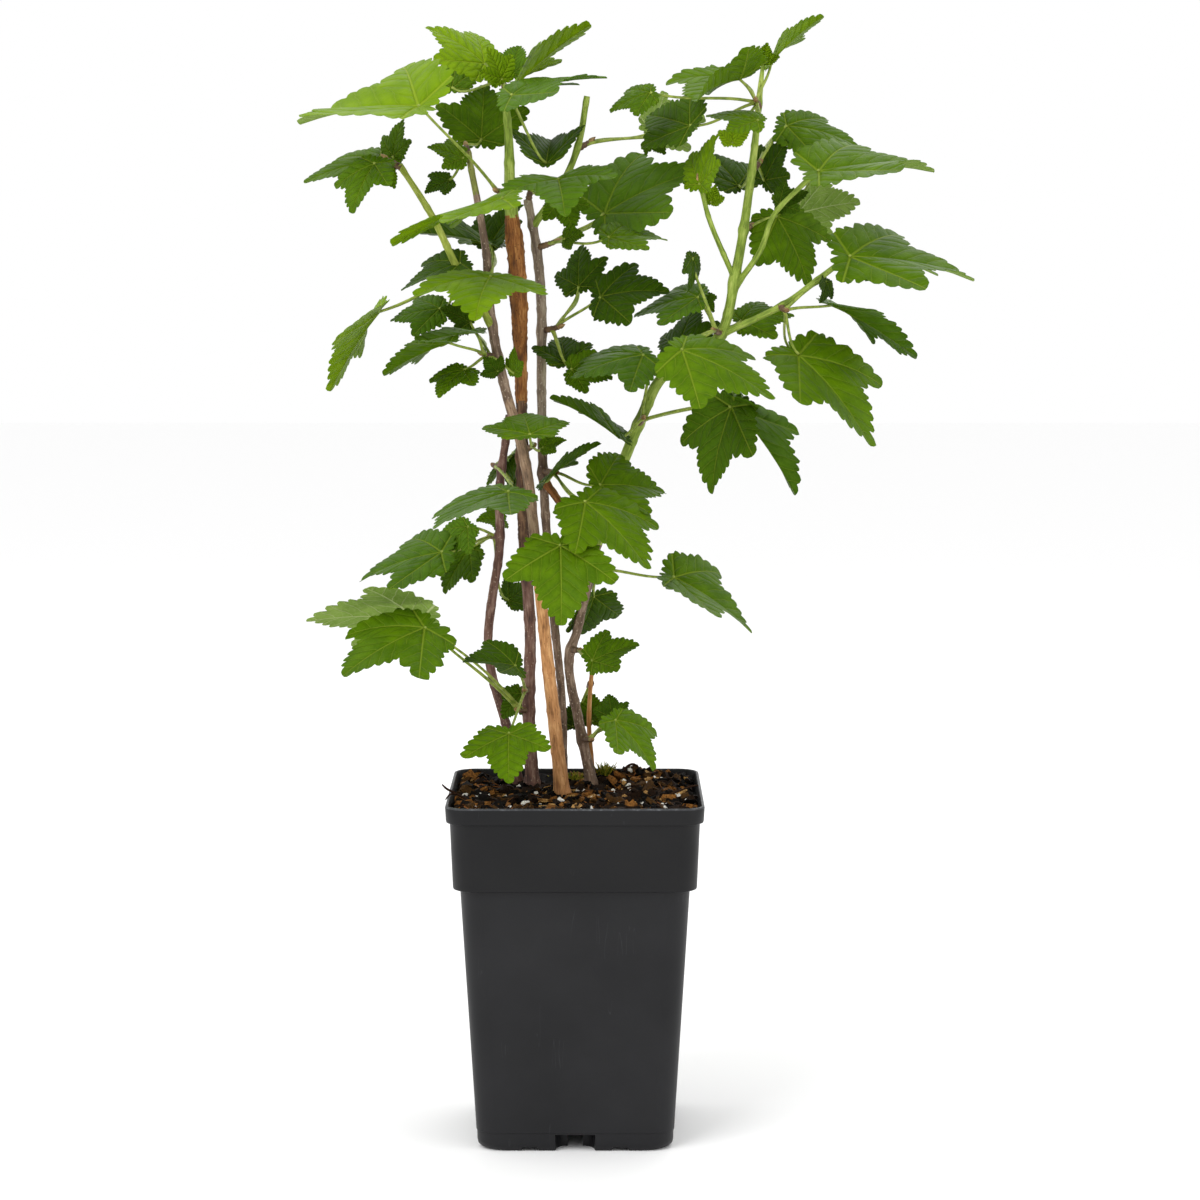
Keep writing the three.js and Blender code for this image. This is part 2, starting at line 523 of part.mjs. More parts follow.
function buildSpray(spray, index) {
  const foot = limbPlace(spray.limb, spray.up);
  const tip = place(spray.spur);
  const spurCurve = new THREE.LineCurve3(foot, tip);
  const leaves = leavesOf(spray, FIRST_SEED + index);
  let solid = solidOf(limbSkin(spurCurve, (s) => SPUR_FOOT + s * (SPUR_TIP - SPUR_FOOT), SPUR_SIDES, 1));
  leaves.forEach((leaf, i) => {
    const joint = place([leaf.right, leaf.up, leaf.back]);
    const axes = leafAxes(leaf.heading, leaf.lean, leaf.roll);
    const start = foot.clone().lerp(tip, 1 - (SPUR_SPREAD * i) / leaves.length);
    solid = solid.add(solidOf(stalkSkin(start, joint, axes)));
    solid = solid.add(solidOf(bladeSkin(joint, leaf)));
  });
  return mainBody(solid.subtract(limbs[spray.limb].clearance));
}

function addMesh(group, name, solid, material) {
  const mesh = new THREE.Mesh(geometryFrom(solid), material);
  mesh.geometry.computeVertexNormals();
  mesh.name = name;
  group.add(mesh);
}

const potPlastic = new THREE.MeshStandardMaterial({ color: 0x2b2c2e, roughness: 0.55, metalness: 0 });
const mixMaterial = new THREE.MeshStandardMaterial({ color: 0x3a2a1e, roughness: 0.95, metalness: 0 });
const leafGreen = new THREE.MeshStandardMaterial({ color: 0x4d7a1e, roughness: 0.5, metalness: 0 });

const currantBush = new THREE.Group();
addMesh(currantBush, 'pot', buildPot(), potPlastic);
addMesh(currantBush, 'potting_mix', buildPottingMix(), mixMaterial);
for (const stem of stems) {
  const bark = new THREE.MeshStandardMaterial({ color: stem.color, roughness: 0.8, metalness: 0 });
  addMesh(currantBush, stem.name, buildStem(stem), bark);
}
for (const bough of boughs) {
  const bark = new THREE.MeshStandardMaterial({ color: bough.color, roughness: 0.7, metalness: 0 });
  addMesh(currantBush, bough.name, buildBough(bough), bark);
}
sprays.forEach((spray, index) => {
  addMesh(currantBush, spray.name, buildSpray(spray, index), leafGreen);
});

export default currantBush;
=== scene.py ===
# A young white currant bush in a tall square nursery pot.
# Sizes are in millimetres and are turned to metres when a mesh is made. +Z is up.
# Places on the plant are (right, up, back): right and up as they line up at the pot's middle
# for an eye in front of the plant, and back is how far behind the pot's middle they lie.
import json
import math

import bpy
import numpy as np
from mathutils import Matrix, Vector, noise

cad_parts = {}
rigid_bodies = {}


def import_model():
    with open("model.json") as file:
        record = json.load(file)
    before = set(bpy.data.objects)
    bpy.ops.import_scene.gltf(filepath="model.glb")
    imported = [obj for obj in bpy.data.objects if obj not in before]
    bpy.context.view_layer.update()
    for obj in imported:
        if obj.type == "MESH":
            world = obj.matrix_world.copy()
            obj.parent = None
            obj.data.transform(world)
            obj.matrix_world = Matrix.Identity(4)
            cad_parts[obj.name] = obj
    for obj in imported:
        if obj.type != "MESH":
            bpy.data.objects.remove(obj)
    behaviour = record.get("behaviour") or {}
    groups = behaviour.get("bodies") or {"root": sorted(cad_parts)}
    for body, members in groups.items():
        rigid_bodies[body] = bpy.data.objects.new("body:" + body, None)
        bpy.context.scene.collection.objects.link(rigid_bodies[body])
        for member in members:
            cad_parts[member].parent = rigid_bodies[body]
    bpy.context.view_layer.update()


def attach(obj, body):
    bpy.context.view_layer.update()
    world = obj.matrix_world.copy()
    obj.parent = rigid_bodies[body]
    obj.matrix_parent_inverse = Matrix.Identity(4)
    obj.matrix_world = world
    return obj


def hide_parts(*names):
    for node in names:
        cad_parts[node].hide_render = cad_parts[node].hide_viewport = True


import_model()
mm = 0.001
scene = bpy.context.scene

# The eye in front of the plant is also where the camera stands
eye = {"right": 14.6, "up": 530.5, "away": 1975.0}
cameraLook = {"down": 6.08, "lens": 100.1, "sensor": 36.0}

cameraData = bpy.data.cameras.new("plant_camera")
cameraData.lens = cameraLook["lens"]
cameraData.sensor_width = cameraLook["sensor"]
camera = bpy.data.objects.new("plant_camera", cameraData)
camera.location = Vector((eye["right"], -eye["away"], eye["up"])) * mm
camera.rotation_euler = (math.radians(90 - cameraLook["down"]), 0, 0)
scene.collection.objects.link(camera)
scene.camera = camera
print("camera in place")


# Colour as six hex digits, turned to the linear values that a shader takes
def hue(digits):
    shares = [int(digits[i:i + 2], 16) / 255 for i in (0, 2, 4)]
    return tuple(s / 12.92 if s <= 0.04045 else ((s + 0.055) / 1.055) ** 2.4 for s in shares)


# One material and the few words that wire its nodes
class Finish:
    def __init__(self, name, color, roughness, gloss=0.5, sheen=0.0):
        self.material = bpy.data.materials.new(name)
        self.material.use_nodes = True
        self.tree = self.material.node_tree
        self.skin = self.tree.nodes["Principled BSDF"]
        self.skin.inputs["Base Color"].default_value = (*hue(color), 1)
        self.skin.inputs["Roughness"].default_value = roughness
        self.skin.inputs["Specular IOR Level"].default_value = gloss
        self.skin.inputs["Sheen Weight"].default_value = sheen
        self.material.diffuse_color = (*hue(color), 1)

    def feed(self, socket, value):
        if isinstance(value, bpy.types.NodeSocket):
            self.tree.links.new(value, socket)
        else:
            socket.default_value = value

    def calc(self, operation, *values):
        node = self.tree.nodes.new("ShaderNodeMath")
        node.operation = operation
        for socket, value in zip(node.inputs, values):
            self.feed(socket, value)
        return node.outputs[0]

    # A vector that the mesh holds at its points
    def mark(self, name):
        node = self.tree.nodes.new("ShaderNodeAttribute")
        node.attribute_name = name
        return node.outputs["Vector"]

    def split(self, vector):
        node = self.tree.nodes.new("ShaderNodeSeparateXYZ")
        self.feed(node.inputs[0], vector)
        return node.outputs[0], node.outputs[1], node.outputs[2]

    def stretch(self, vector, scale):
        node = self.tree.nodes.new("ShaderNodeVectorMath")
        node.operation = "MULTIPLY"
        self.feed(node.inputs[0], vector)
        node.inputs[1].default_value = scale
        return node.outputs[0]

    def where(self):
        return self.tree.nodes.new("ShaderNodeTexCoord").outputs["Object"]

    def grain(self, vector, scale, detail=4.0, rough=0.55):
        node = self.tree.nodes.new("ShaderNodeTexNoise")
        self.feed(node.inputs["Vector"], vector)
        node.inputs["Scale"].default_value = scale
        node.inputs["Detail"].default_value = detail
        node.inputs["Roughness"].default_value = rough
        return node.outputs[0]

    def cells(self, vector, scale, feature="DISTANCE_TO_EDGE"):
        node = self.tree.nodes.new("ShaderNodeTexVoronoi")
        node.feature = feature
        self.feed(node.inputs["Vector"], vector)
        node.inputs["Scale"].default_value = scale
        return node.outputs["Distance"]

    # 1 up to low, 0 from high, and smooth between them
    def fade(self, value, low, high):
        node = self.tree.nodes.new("ShaderNodeMapRange")
        node.interpolation_type = "SMOOTHSTEP"
        self.feed(node.inputs["Value"], value)
        self.feed(node.inputs["From Min"], low)
        self.feed(node.inputs["From Max"], high)
        node.inputs["To Min"].default_value = 1
        node.inputs["To Max"].default_value = 0
        return node.outputs["Result"]

    # Colours along a 0 to 1 value: (place, colour) pairs
    def ramp(self, factor, stops):
        node = self.tree.nodes.new("ShaderNodeValToRGB")
        self.feed(node.inputs["Fac"], factor)
        marks = node.color_ramp.elements
        while len(marks) < len(stops):
            marks.new(0.5)
        for mark, (at, color) in zip(marks, sorted(stops)):
            mark.position = at
            mark.color = (*hue(color), 1)
        return node.outputs["Color"]

    def blend(self, factor, first, second, kind="MIX"):
        node = self.tree.nodes.new("ShaderNodeMix")
        node.data_type = "RGBA"
        node.blend_type = kind
        self.feed(node.inputs[0], factor)
        for socket, value in ((node.inputs[6], first), (node.inputs[7], second)):
            self.feed(socket, (*hue(value), 1) if isinstance(value, str) else value)
        return node.outputs[2]

    def color(self, value):
        self.feed(self.skin.inputs["Base Color"], value)

    def roughness(self, value):
        self.feed(self.skin.inputs["Roughness"], value)

    def relief(self, height, depth, strength=1.0):
        node = self.tree.nodes.new("ShaderNodeBump")
        node.inputs["Strength"].default_value = strength
        node.inputs["Distance"].default_value = depth * mm
        self.feed(node.inputs["Height"], height)
        self.tree.links.new(node.outputs["Normal"], self.skin.inputs["Normal"])


# Vertices and faces of many small forms, gathered for one joined mesh
class Heap:
    def __init__(self):
        self.points, self.corners, self.sizes, self.finishes, self.marks = [], [], [], [], []
        self.count = 0

    def add(self, points, faces, finish=0, marks=None):
        points = np.asarray(points, float).reshape(-1, 3)
        for group in faces:
            group = np.asarray(group, int)
            if len(group):
                self.corners.append((group + self.count).ravel())
                self.sizes.append(np.full(len(group), group.shape[1]))
                self.finishes.append(np.full(len(group), finish))
        self.points.append(points)
        self.marks.append(np.zeros((len(points), 3)) if marks is None else np.asarray(marks, float))
        self.count += len(points)

    def piece(self, name, finishes, slot, nodes, mark=None, sharp=None):
        points = np.concatenate(self.points) * mm
        corners = np.concatenate(self.corners)
        sizes = np.concatenate(self.sizes)
        mesh = bpy.data.meshes.new(name)
        mesh.vertices.add(len(points))
        mesh.vertices.foreach_set("co", points.ravel().astype(np.float32))
        mesh.loops.add(len(corners))
        mesh.loops.foreach_set("vertex_index", corners.astype(np.int32))
        mesh.polygons.add(len(sizes))
        mesh.polygons.foreach_set("loop_start", (np.cumsum(sizes) - sizes).astype(np.int32))
        mesh.polygons.foreach_set("material_index", np.concatenate(self.finishes).astype(np.int32))
        mesh.update(calc_edges=True)
        mesh.validate()
        mesh.polygons.foreach_set("use_smooth", np.ones(len(mesh.polygons), bool))
        if sharp:
            mesh.set_sharp_from_angle(angle=math.radians(sharp))
        if mark:
            held = mesh.attributes.new(mark, "FLOAT_VECTOR", "POINT")
            held.data.foreach_set("vector", np.concatenate(self.marks).ravel().astype(np.float32))
        for finish in finishes:
            mesh.materials.append(finish.material)
        made = bpy.data.objects.new(name, mesh)
        scene.collection.objects.link(made)
        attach(made, "root")
        if nodes:
            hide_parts(*nodes)


# A place lined up from the eye, as a real place
def place(right, up, back):
    further = 1 + back / eye["away"]
    return np.array([
        eye["right"] + (right - eye["right"]) * further, back, eye["up"] + (up - eye["up"]) * further])


# Faces of a stack of rings with the same number of points, with fans over its two ends
def ringFaces(rings, count, ends=True):
    first = np.arange(count)
    second = (first + 1) % count
    quads = []
    for ring in range(rings - 1):
        low, high = ring * count, (ring + 1) * count
        quads.append(np.stack([low + first, low + second, high + second, high + first], 1))
    fans = np.zeros((0, 3), int)
    if ends:
        k = np.arange(1, count - 1)
        last = (rings - 1) * count
        fans = np.concatenate([
            np.stack([np.zeros_like(k), k + 1, k], 1),
            np.stack([np.full_like(k, last), last + k, last + k + 1], 1)])
    return np.concatenate(quads), fans


def unit(vector):
    return vector / np.linalg.norm(vector)


# A tapering limb or stalk: a smooth line through its points, with a half thickness
class Limb:
    def __init__(self, points, halves):
        points = np.array(points, float)
        self.controls = points
        self.dense = throughPoints(points) if len(points) > 2 else points
        self.arcs = np.concatenate([[0], np.cumsum(np.linalg.norm(np.diff(self.dense, axis=0), axis=1))])
        self.length = self.arcs[-1]
        per = (len(self.dense) - 1) // (len(points) - 1)
        self.knots = self.arcs[::per]
        self.halves = halves

    def at(self, run):
        return np.array([np.interp(run, self.arcs, self.dense[:, k]) for k in range(3)])

    def along(self, run):
        reach = min(0.5, self.length / 10)
        return unit(self.at(min(run + reach, self.length)) - self.at(max(run - reach, 0)))

    def half(self, run):
        return np.interp(run, self.knots, self.halves)

    # The place at a height lined up from the eye
    def atHeight(self, up):
        for run in np.linspace(0, self.length, 201):
            spot = self.at(run)
            if eye["up"] + (spot[2] - eye["up"]) / (1 + spot[1] / eye["away"]) >= up:
                return spot
        return self.at(self.length)


# Centripetal spline through the points, 24 steps for each span
def throughPoints(points, steps=24):
    ends = [2 * points[0] - points[1], *points, 2 * points[-1] - points[-2]]
    made = [points[:1]]
    t = np.linspace(0, 1, steps + 1)[1:, None]
    for a, b, c, d in zip(ends, ends[1:], ends[2:], ends[3:]):
        first, middle, last = (np.linalg.norm(q - p) ** 0.5 for p, q in ((a, b), (b, c), (c, d)))
        leave = ((b - a) / first - (c - a) / (first + middle) + (c - b) / middle) * middle
        arrive = ((c - b) / middle - (d - b) / (middle + last) + (d - c) / last) * middle
        made.append(b + leave * t + (3 * (c - b) - 2 * leave - arrive) * t ** 2
                    + (2 * (b - c) + leave + arrive) * t ** 3)
    return np.concatenate(made)


# Rings of points round a limb: relief(turn, run) scales the half thickness, turn in radians
def limbRings(limb, sides, step, relief=None, swell=None):
    count = max(2, math.ceil(limb.length / step))
    turns = 2 * math.pi * np.arange(sides) / sides
    across = np.array([0.0, 1.0, 0.0])
    points, marks = [], []
    for run in np.linspace(0, limb.length, count + 1):
        along = limb.along(run)
        side = unit(across - along * across.dot(along))
        across = side
        front = np.cross(along, side)
        half = limb.half(run) * (swell(run) if swell else 1)
        reach = half * (np.array([relief(turn, run) for turn in turns]) if relief else np.ones(sides))
        points.append(limb.at(run) + np.outer(np.cos(turns) * reach, side)
                      + np.outer(np.sin(turns) * reach, front))
        marks.append(np.stack([np.cos(turns) * half, np.sin(turns) * half, np.full(sides, run)], 1))
    return np.concatenate(points), ringFaces(count + 1, sides), np.concatenate(marks)


# Pot

potSizes = {
    "corner": 13, "cornerSteps": 10,
    # outside from the underside to the rim, then down the inside: height and half width
    "outside": [(0, 54.9), (0.4, 56), (1.2, 56.9), (2.6, 57.6), (5, 57.95), (10.8, 58.1), (11.1, 58.5),
                (60, 61.4), (110, 64.4), (156.3, 67.1), (156.9, 67.35), (157, 70.2), (157.4, 70.9),
                (158.3, 71.2), (180, 72.1), (196.3, 72.75), (196.8, 72.95), (196.9, 74.2),
                (197.2, 74.7), (198, 74.95), (205.9, 75.4), (206.7, 75.1), (207, 74.5)],
    "inside": [(206.9, 73.9), (206.4, 73.6), (205, 73.5), (196, 71), (159.4, 69.4), (156.9, 65.4),
               (2.6, 56.1)],
    "wall": 1.8,
    # the rim's upward faces above this height get a painted highlight, a lighter grey mottled like rubbing
    "paintedRimHighlightFrom": 205.5,
    # how much more the corner is rounded at the underside, and up to what height
    "footCorner": 4.5, "footHeight": 6,
    "channel": {"mouth": 23.6, "width": 9, "neck": 13, "length": 44, "height": 10.1, "face": 58},
    "groove": {"aside": 26.5, "width": 12.5, "length": 16, "height": 2.3, "face": 57.5, "slope": 1.6,
               "narrowing": 1},
    # a cut starts this far outside the face and at this height, and a channel's cover at its own
    "lead": 6, "cutFoot": -2, "coverFoot": 1,
    # block that trims the covers to the pot: height, half width and corner of its two ends
    "trim": [(0, 56.2, 14), (30, 57.9, 12)], "trimSteps": 6,
    # heights between which the band's darker tone sets in
    "bandTone": (155.5, 158.5),
}


def potPlastic():
    plastic = Finish("pot_plastic", "1c1c1e", 0.5, gloss=0.22)
    spot = plastic.where()
    mottle = plastic.grain(spot, 16, 3)
    # thin lines where a drawn-out noise passes its middle value, and only here and there
    drawn = plastic.grain(plastic.stretch(spot, (110, 110, 9)), 1.0, 2, 0.6)
    line = plastic.fade(plastic.calc("ABSOLUTE", plastic.calc("SUBTRACT", drawn, 0.5)), 0.002, 0.008)
    scratch = plastic.calc("MULTIPLY", line, plastic.fade(plastic.grain(spot, 38, 2), 0.36, 0.42))
    # the band under the rim is a little darker than the wall below it
    low, high = (up * mm for up in potSizes["bandTone"])
    band = plastic.calc("SUBTRACT", 1.0, plastic.fade(plastic.split(spot)[2], low, high))
    tone = plastic.blend(band, plastic.ramp(mottle, [(0.3, "151517"), (0.7, "1e1e20")]),
                         plastic.ramp(mottle, [(0.3, "0e0e10"), (0.7, "151516")]))
    plastic.color(plastic.blend(plastic.calc("MULTIPLY", scratch, 0.14), tone, "4a4b4d"))
    plastic.roughness(plastic.calc("MULTIPLY_ADD", mottle, 0.1, 0.42))
    plastic.relief(plastic.grain(spot, 1500, 3), 0.04, 0.4)
    return plastic


def rimHighlightPlastic():
    # Painted highlight: a lighter grey, mottled like rubbed plastic, for the light that falls on the rim's
    # upward faces
    plastic = Finish("pot_rim_painted_highlight", "333437", 0.5, gloss=0.3)
    rubAndHighlight = plastic.grain(plastic.where(), 260, 5, 0.6)
    plastic.color(plastic.ramp(rubAndHighlight, [(0.36, "2a2b2d"), (0.55, "36373a"), (0.7, "56585b")]))
    plastic.relief(rubAndHighlight, 0.08, 0.5)
    return plastic


def squareRing(up, half, corner, steps):
    ring = []
    for quarter in range(4):
        middle = quarter * math.pi / 2 + math.pi / 4
        x, y = (math.sqrt(2) * (half - corner) * f(middle) for f in (math.cos, math.sin))
        for k in range(steps + 1):
            turn = (quarter + k / steps) * math.pi / 2
            ring.append((x + corner * math.cos(turn), y + corner * math.sin(turn), up))
    return ring


# A block of an outline, drawn in at its top by the slope, under the pot on all four sides
def blocksUnder(outline, low, high, slope=0.0):
    heap = Heap()
    middle = sum(x for x, _ in outline) / len(outline)
    for quarter in range(4):
        turn = quarter * math.pi / 2
        rings = []
        for up, inset in ((low, 0), (high, slope)):
            for x, y in outline:
                x -= math.copysign(min(inset, abs(x - middle)), x - middle)
                rings.append((x * math.cos(turn) - y * math.sin(turn),
                              x * math.sin(turn) + y * math.cos(turn), up))
        heap.add(rings, ringFaces(2, len(outline)))
    return heap


def channelOutline(sizes, grow):
    face = -sizes["face"] - potSizes["lead"]
    wide, narrow = sizes["mouth"] / 2 + grow, sizes["width"] / 2 + grow
    neck, end = sizes["neck"] - sizes["face"] + grow, sizes["length"] - sizes["face"] + grow
    bend = [(wide - (wide - narrow) * t ** 2, neck - (neck + sizes["face"]) * (1 - t) ** 2)
            for t in np.linspace(0, 1, 9)]
    nose = [(narrow * math.cos(t), end - narrow + narrow * math.sin(t))
            for t in np.linspace(0, math.pi, 13)]
    left = [(-x, y) for x, y in reversed(bend)]
    return [(-wide, face), (wide, face), *bend, *nose, *left]


def looseMesh(heap, name):
    mesh = bpy.data.meshes.new(name)
    mesh.from_pydata([tuple(p) for p in np.concatenate(heap.points) * mm], [], facesOf(heap))
    made = bpy.data.objects.new(name, mesh)
    scene.collection.objects.link(made)
    return made


def facesOf(heap):
    corners, sizes = np.concatenate(heap.corners), np.concatenate(heap.sizes)
    starts = np.cumsum(sizes) - sizes
    return [corners[a:a + n].tolist() for a, n in zip(starts, sizes)]


def cutWith(target, tool, operation):
    cut = target.modifiers.new(operation, "BOOLEAN")
    cut.object, cut.operation, cut.solver = tool, operation, "MANIFOLD"
    bpy.context.view_layer.objects.active = target
    with bpy.context.temp_override(object=target, active_object=target):
        bpy.ops.object.modifier_apply(modifier=cut.name)
    bpy.data.objects.remove(tool)


def buildPot():
    sizes = potSizes
    rows = [(up, half, sizes["corner"] + sizes["footCorner"] * max(0, 1 - up / sizes["footHeight"]) ** 2)
            for up, half in sizes["outside"]]
    rows += [(up, half, sizes["corner"] - sizes["wall"]) for up, half in sizes["inside"]]
    steps = sizes["cornerSteps"]
    heap = Heap()
    heap.add([p for row in rows for p in squareRing(*row, steps)], ringFaces(len(rows), 4 * (steps + 1)))
    pot = looseMesh(heap, "pot_shell")
    channel, groove, foot = sizes["channel"], sizes["groove"], sizes["cutFoot"]
    cover = blocksUnder(channelOutline(channel, sizes["wall"]), sizes["coverFoot"],
                        channel["height"] + sizes["wall"])
    hollow = blocksUnder(channelOutline(channel, 0), foot, channel["height"])
    ends = [squareRing(*end, sizes["trimSteps"]) for end in sizes["trim"]]
    trim = Heap()
    trim.add([*ends[0], *ends[1]], ringFaces(2, len(ends[0])))
    covers = looseMesh(cover, "cover")
    cutWith(covers, looseMesh(trim, "trim"), "INTERSECT")
    cutWith(pot, covers, "UNION")
    cutWith(pot, looseMesh(hollow, "hollow"), "DIFFERENCE")
    for side in (-1, 1):
        low, high = -groove["face"] - sizes["lead"], -groove["face"] + groove["length"]
        x0, x1 = (side * groove["aside"] + k * groove["width"] / 2 for k in (-1, 1))
        narrow = groove["narrowing"]
        shallow = blocksUnder([(x0, low), (x1, low), (x1 - narrow, high), (x0 + narrow, high)], foot,
                              groove["height"], groove["slope"])
        cutWith(pot, looseMesh(shallow, "groove"), "DIFFERENCE")
    pot.data.materials.clear()
    pot.data.materials.append(potPlastic().material)
    pot.data.materials.append(rimHighlightPlastic().material)
    for face in pot.data.polygons:
        face.use_smooth = True
        # the rim's upward faces take the lighter rim finish, a painted highlight
        face.material_index = 1 if face.center.z > sizes["paintedRimHighlightFrom"] * mm and abs(face.normal.z) > 0.2 else 0
    pot.data.set_sharp_from_angle(angle=math.radians(38))
    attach(pot, "root")
    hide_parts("pot")


buildPot()
print("pot made")


# Potting mix

mixSizes = {
    "level": 200.5, "inside": 70.8, "corner": 11, "walls": [(12.4, 56), (155, 64.7), (160, 68.2)],
    "rings": 44, "steps": 30,
    "heap": {"right": 36, "back": 44, "reach": 24, "height": 7},
    # unevenness: how fine, which slice of the noise, how high
    "rough": [(0.055, 3, 2.6), (0.16, 9, 1.8)],
    # near the wall the mix lies higher, from this share of the half width outwards
    "edgeRise": 1.6, "edgeFrom": 0.7,
    # tufts of moss: right, back, reach, height
    "moss": [(-2, 48, 4.5, 9), (17, 50, 3.5, 11), (8, 54, 5, 6)], "mossStrands": 70,
    "chips": 1500, "crumbs": 1500, "fibres": 240, "perlite": 150, "seed": 7,
    # a chip's length, then its width, thickness and lift as shares
    "chipLong": (3.5, 10), "crumbLong": (1.2, 3.2), "chipWide": (0.35, 0.8), "chipFlat": (0.18, 0.4),
    "chipLift": (-0.35, 0.75), "chipChances": (0.35, 0.28, 0.18, 0.14, 0.05),
    "perliteWide": (1.4, 4.0), "perliteDeep": (0.6, 0.95), "perliteHigh": 0.7, "perliteLift": 0.34,
    "fibreLong": (5, 17), "fibreBend": 0.25, "fibreLift": (0.6, 2.6), "fibreHalf": (0.15, 0.5),
    # how far from the middle pale bits and fibres may lie
    "perliteReach": 66, "fibreReach": 69,
    # pale bits that the eye can tell apart: right, back, width
    "seen": [(-29, -32, 5.5), (-8.5, -31, 5), (-42.7, -44, 3.4), (31.5, 20, 4.6), (43.5, 24, 4.2),
             (31, -32, 4.4), (19, -10, 2.8), (32, 60, 2.6), (53, -46, 4.4), (43, -41, 3),
             (-60, -30, 3.6), (-74, -36, 2.6), (-66, -5, 3.4), (-66.5, 26, 3.2), (-62.5, 8, 2.8),
             (-39.5, -24, 3), (9.5, -6, 3.4), (-14, -46, 3.6)],
}


def soilHeight(x, y):
    heap = mixSizes["heap"]
    far = ((x - heap["right"]) ** 2 + (y - heap["back"]) ** 2) / heap["reach"] ** 2
    rough = sum(noise.noise(Vector((x, y, cut)) * fine) * high for fine, cut, high in mixSizes["rough"])
    edge = max(abs(x), abs(y)) / mixSizes["inside"]
    rise = mixSizes["edgeRise"] * max(0, edge - mixSizes["edgeFrom"]) / 0.3
    return mixSizes["level"] + rough + heap["height"] * math.exp(-far) + rise


def soilFinish():
    soil = Finish("potting_mix", "1c1109", 0.95, gloss=0.08)
    spot = soil.where()
    soil.color(soil.ramp(soil.grain(spot, 420, 6, 0.7), [
        (0.3, "090503"), (0.48, "1c1109"), (0.62, "352213"), (0.78, "573a1f")]))
    soil.relief(soil.grain(spot, 700, 6, 0.7), 0.9)
    return soil


def chipFinish(name, dark, light):
    chip = Finish(name, light, 0.85, gloss=0.1)
    spot = chip.where()
    fibre = chip.grain(chip.stretch(spot, (1100, 500, 1100)), 1.0, 4, 0.6)
    chip.color(chip.ramp(fibre, [(0.3, dark), (0.7, light)]))
    chip.relief(fibre, 0.35)
    return chip


# A lumpy bit from a cube whose faces are split in four: sharp ones are bark, round ones perlite
def lumpyBit(rng, sizes, jitter, roundness):
    corners = np.array([(x, y, z) for x in (-1, 0, 1) for y in (-1, 0, 1) for z in (-1, 0, 1)], float)
    shell = [i for i, c in enumerate(corners) if np.abs(c).max() == 1]
    points = corners[shell]
    away = np.linalg.norm(points, axis=1, keepdims=True)
    points = points * (1 - roundness + roundness / away)
    points = (points + rng.uniform(-jitter, jitter, points.shape)) * np.array(sizes) / 2
    number = {tuple(corners[i].astype(int)): k for k, i in enumerate(shell)}
    faces = []
    for axis in range(3):
        for side in (-1, 1):
            for a in (-1, 0):
                for b in (-1, 0):
                    loop = []
                    for da, db in ((0, 0), (1, 0), (1, 1), (0, 1)):
                        spot = [0, 0, 0]
                        spot[axis], spot[(axis + 1) % 3], spot[(axis + 2) % 3] = side, a + da, b + db
                        loop.append(number[tuple(spot)])
                    faces.append(loop if side == 1 else loop[::-1])
    return points, np.array(faces)


def turned(points, rng, tilt=0.5):
    a, b, c = rng.uniform(0, 2 * math.pi), rng.uniform(-tilt, tilt), rng.uniform(-tilt, tilt)
    spin = np.array([[math.cos(a), -math.sin(a), 0], [math.sin(a), math.cos(a), 0], [0, 0, 1]])
    lean = np.array([[1, 0, 0], [0, math.cos(b), -math.sin(b)], [0, math.sin(b), math.cos(b)]])
    roll = np.array([[math.cos(c), 0, math.sin(c)], [0, 1, 0], [-math.sin(c), 0, math.cos(c)]])
    return points @ (spin @ lean @ roll).T


def spotInPot(rng, rim=0):
    inside = mixSizes["inside"] - 2 - rim
    while True:
        x, y = rng.uniform(-inside, inside, 2)
        corner = mixSizes["corner"]
        over = [max(0, abs(v) - inside + corner) for v in (x, y)]
        if math.hypot(*over) < corner:
            return x, y


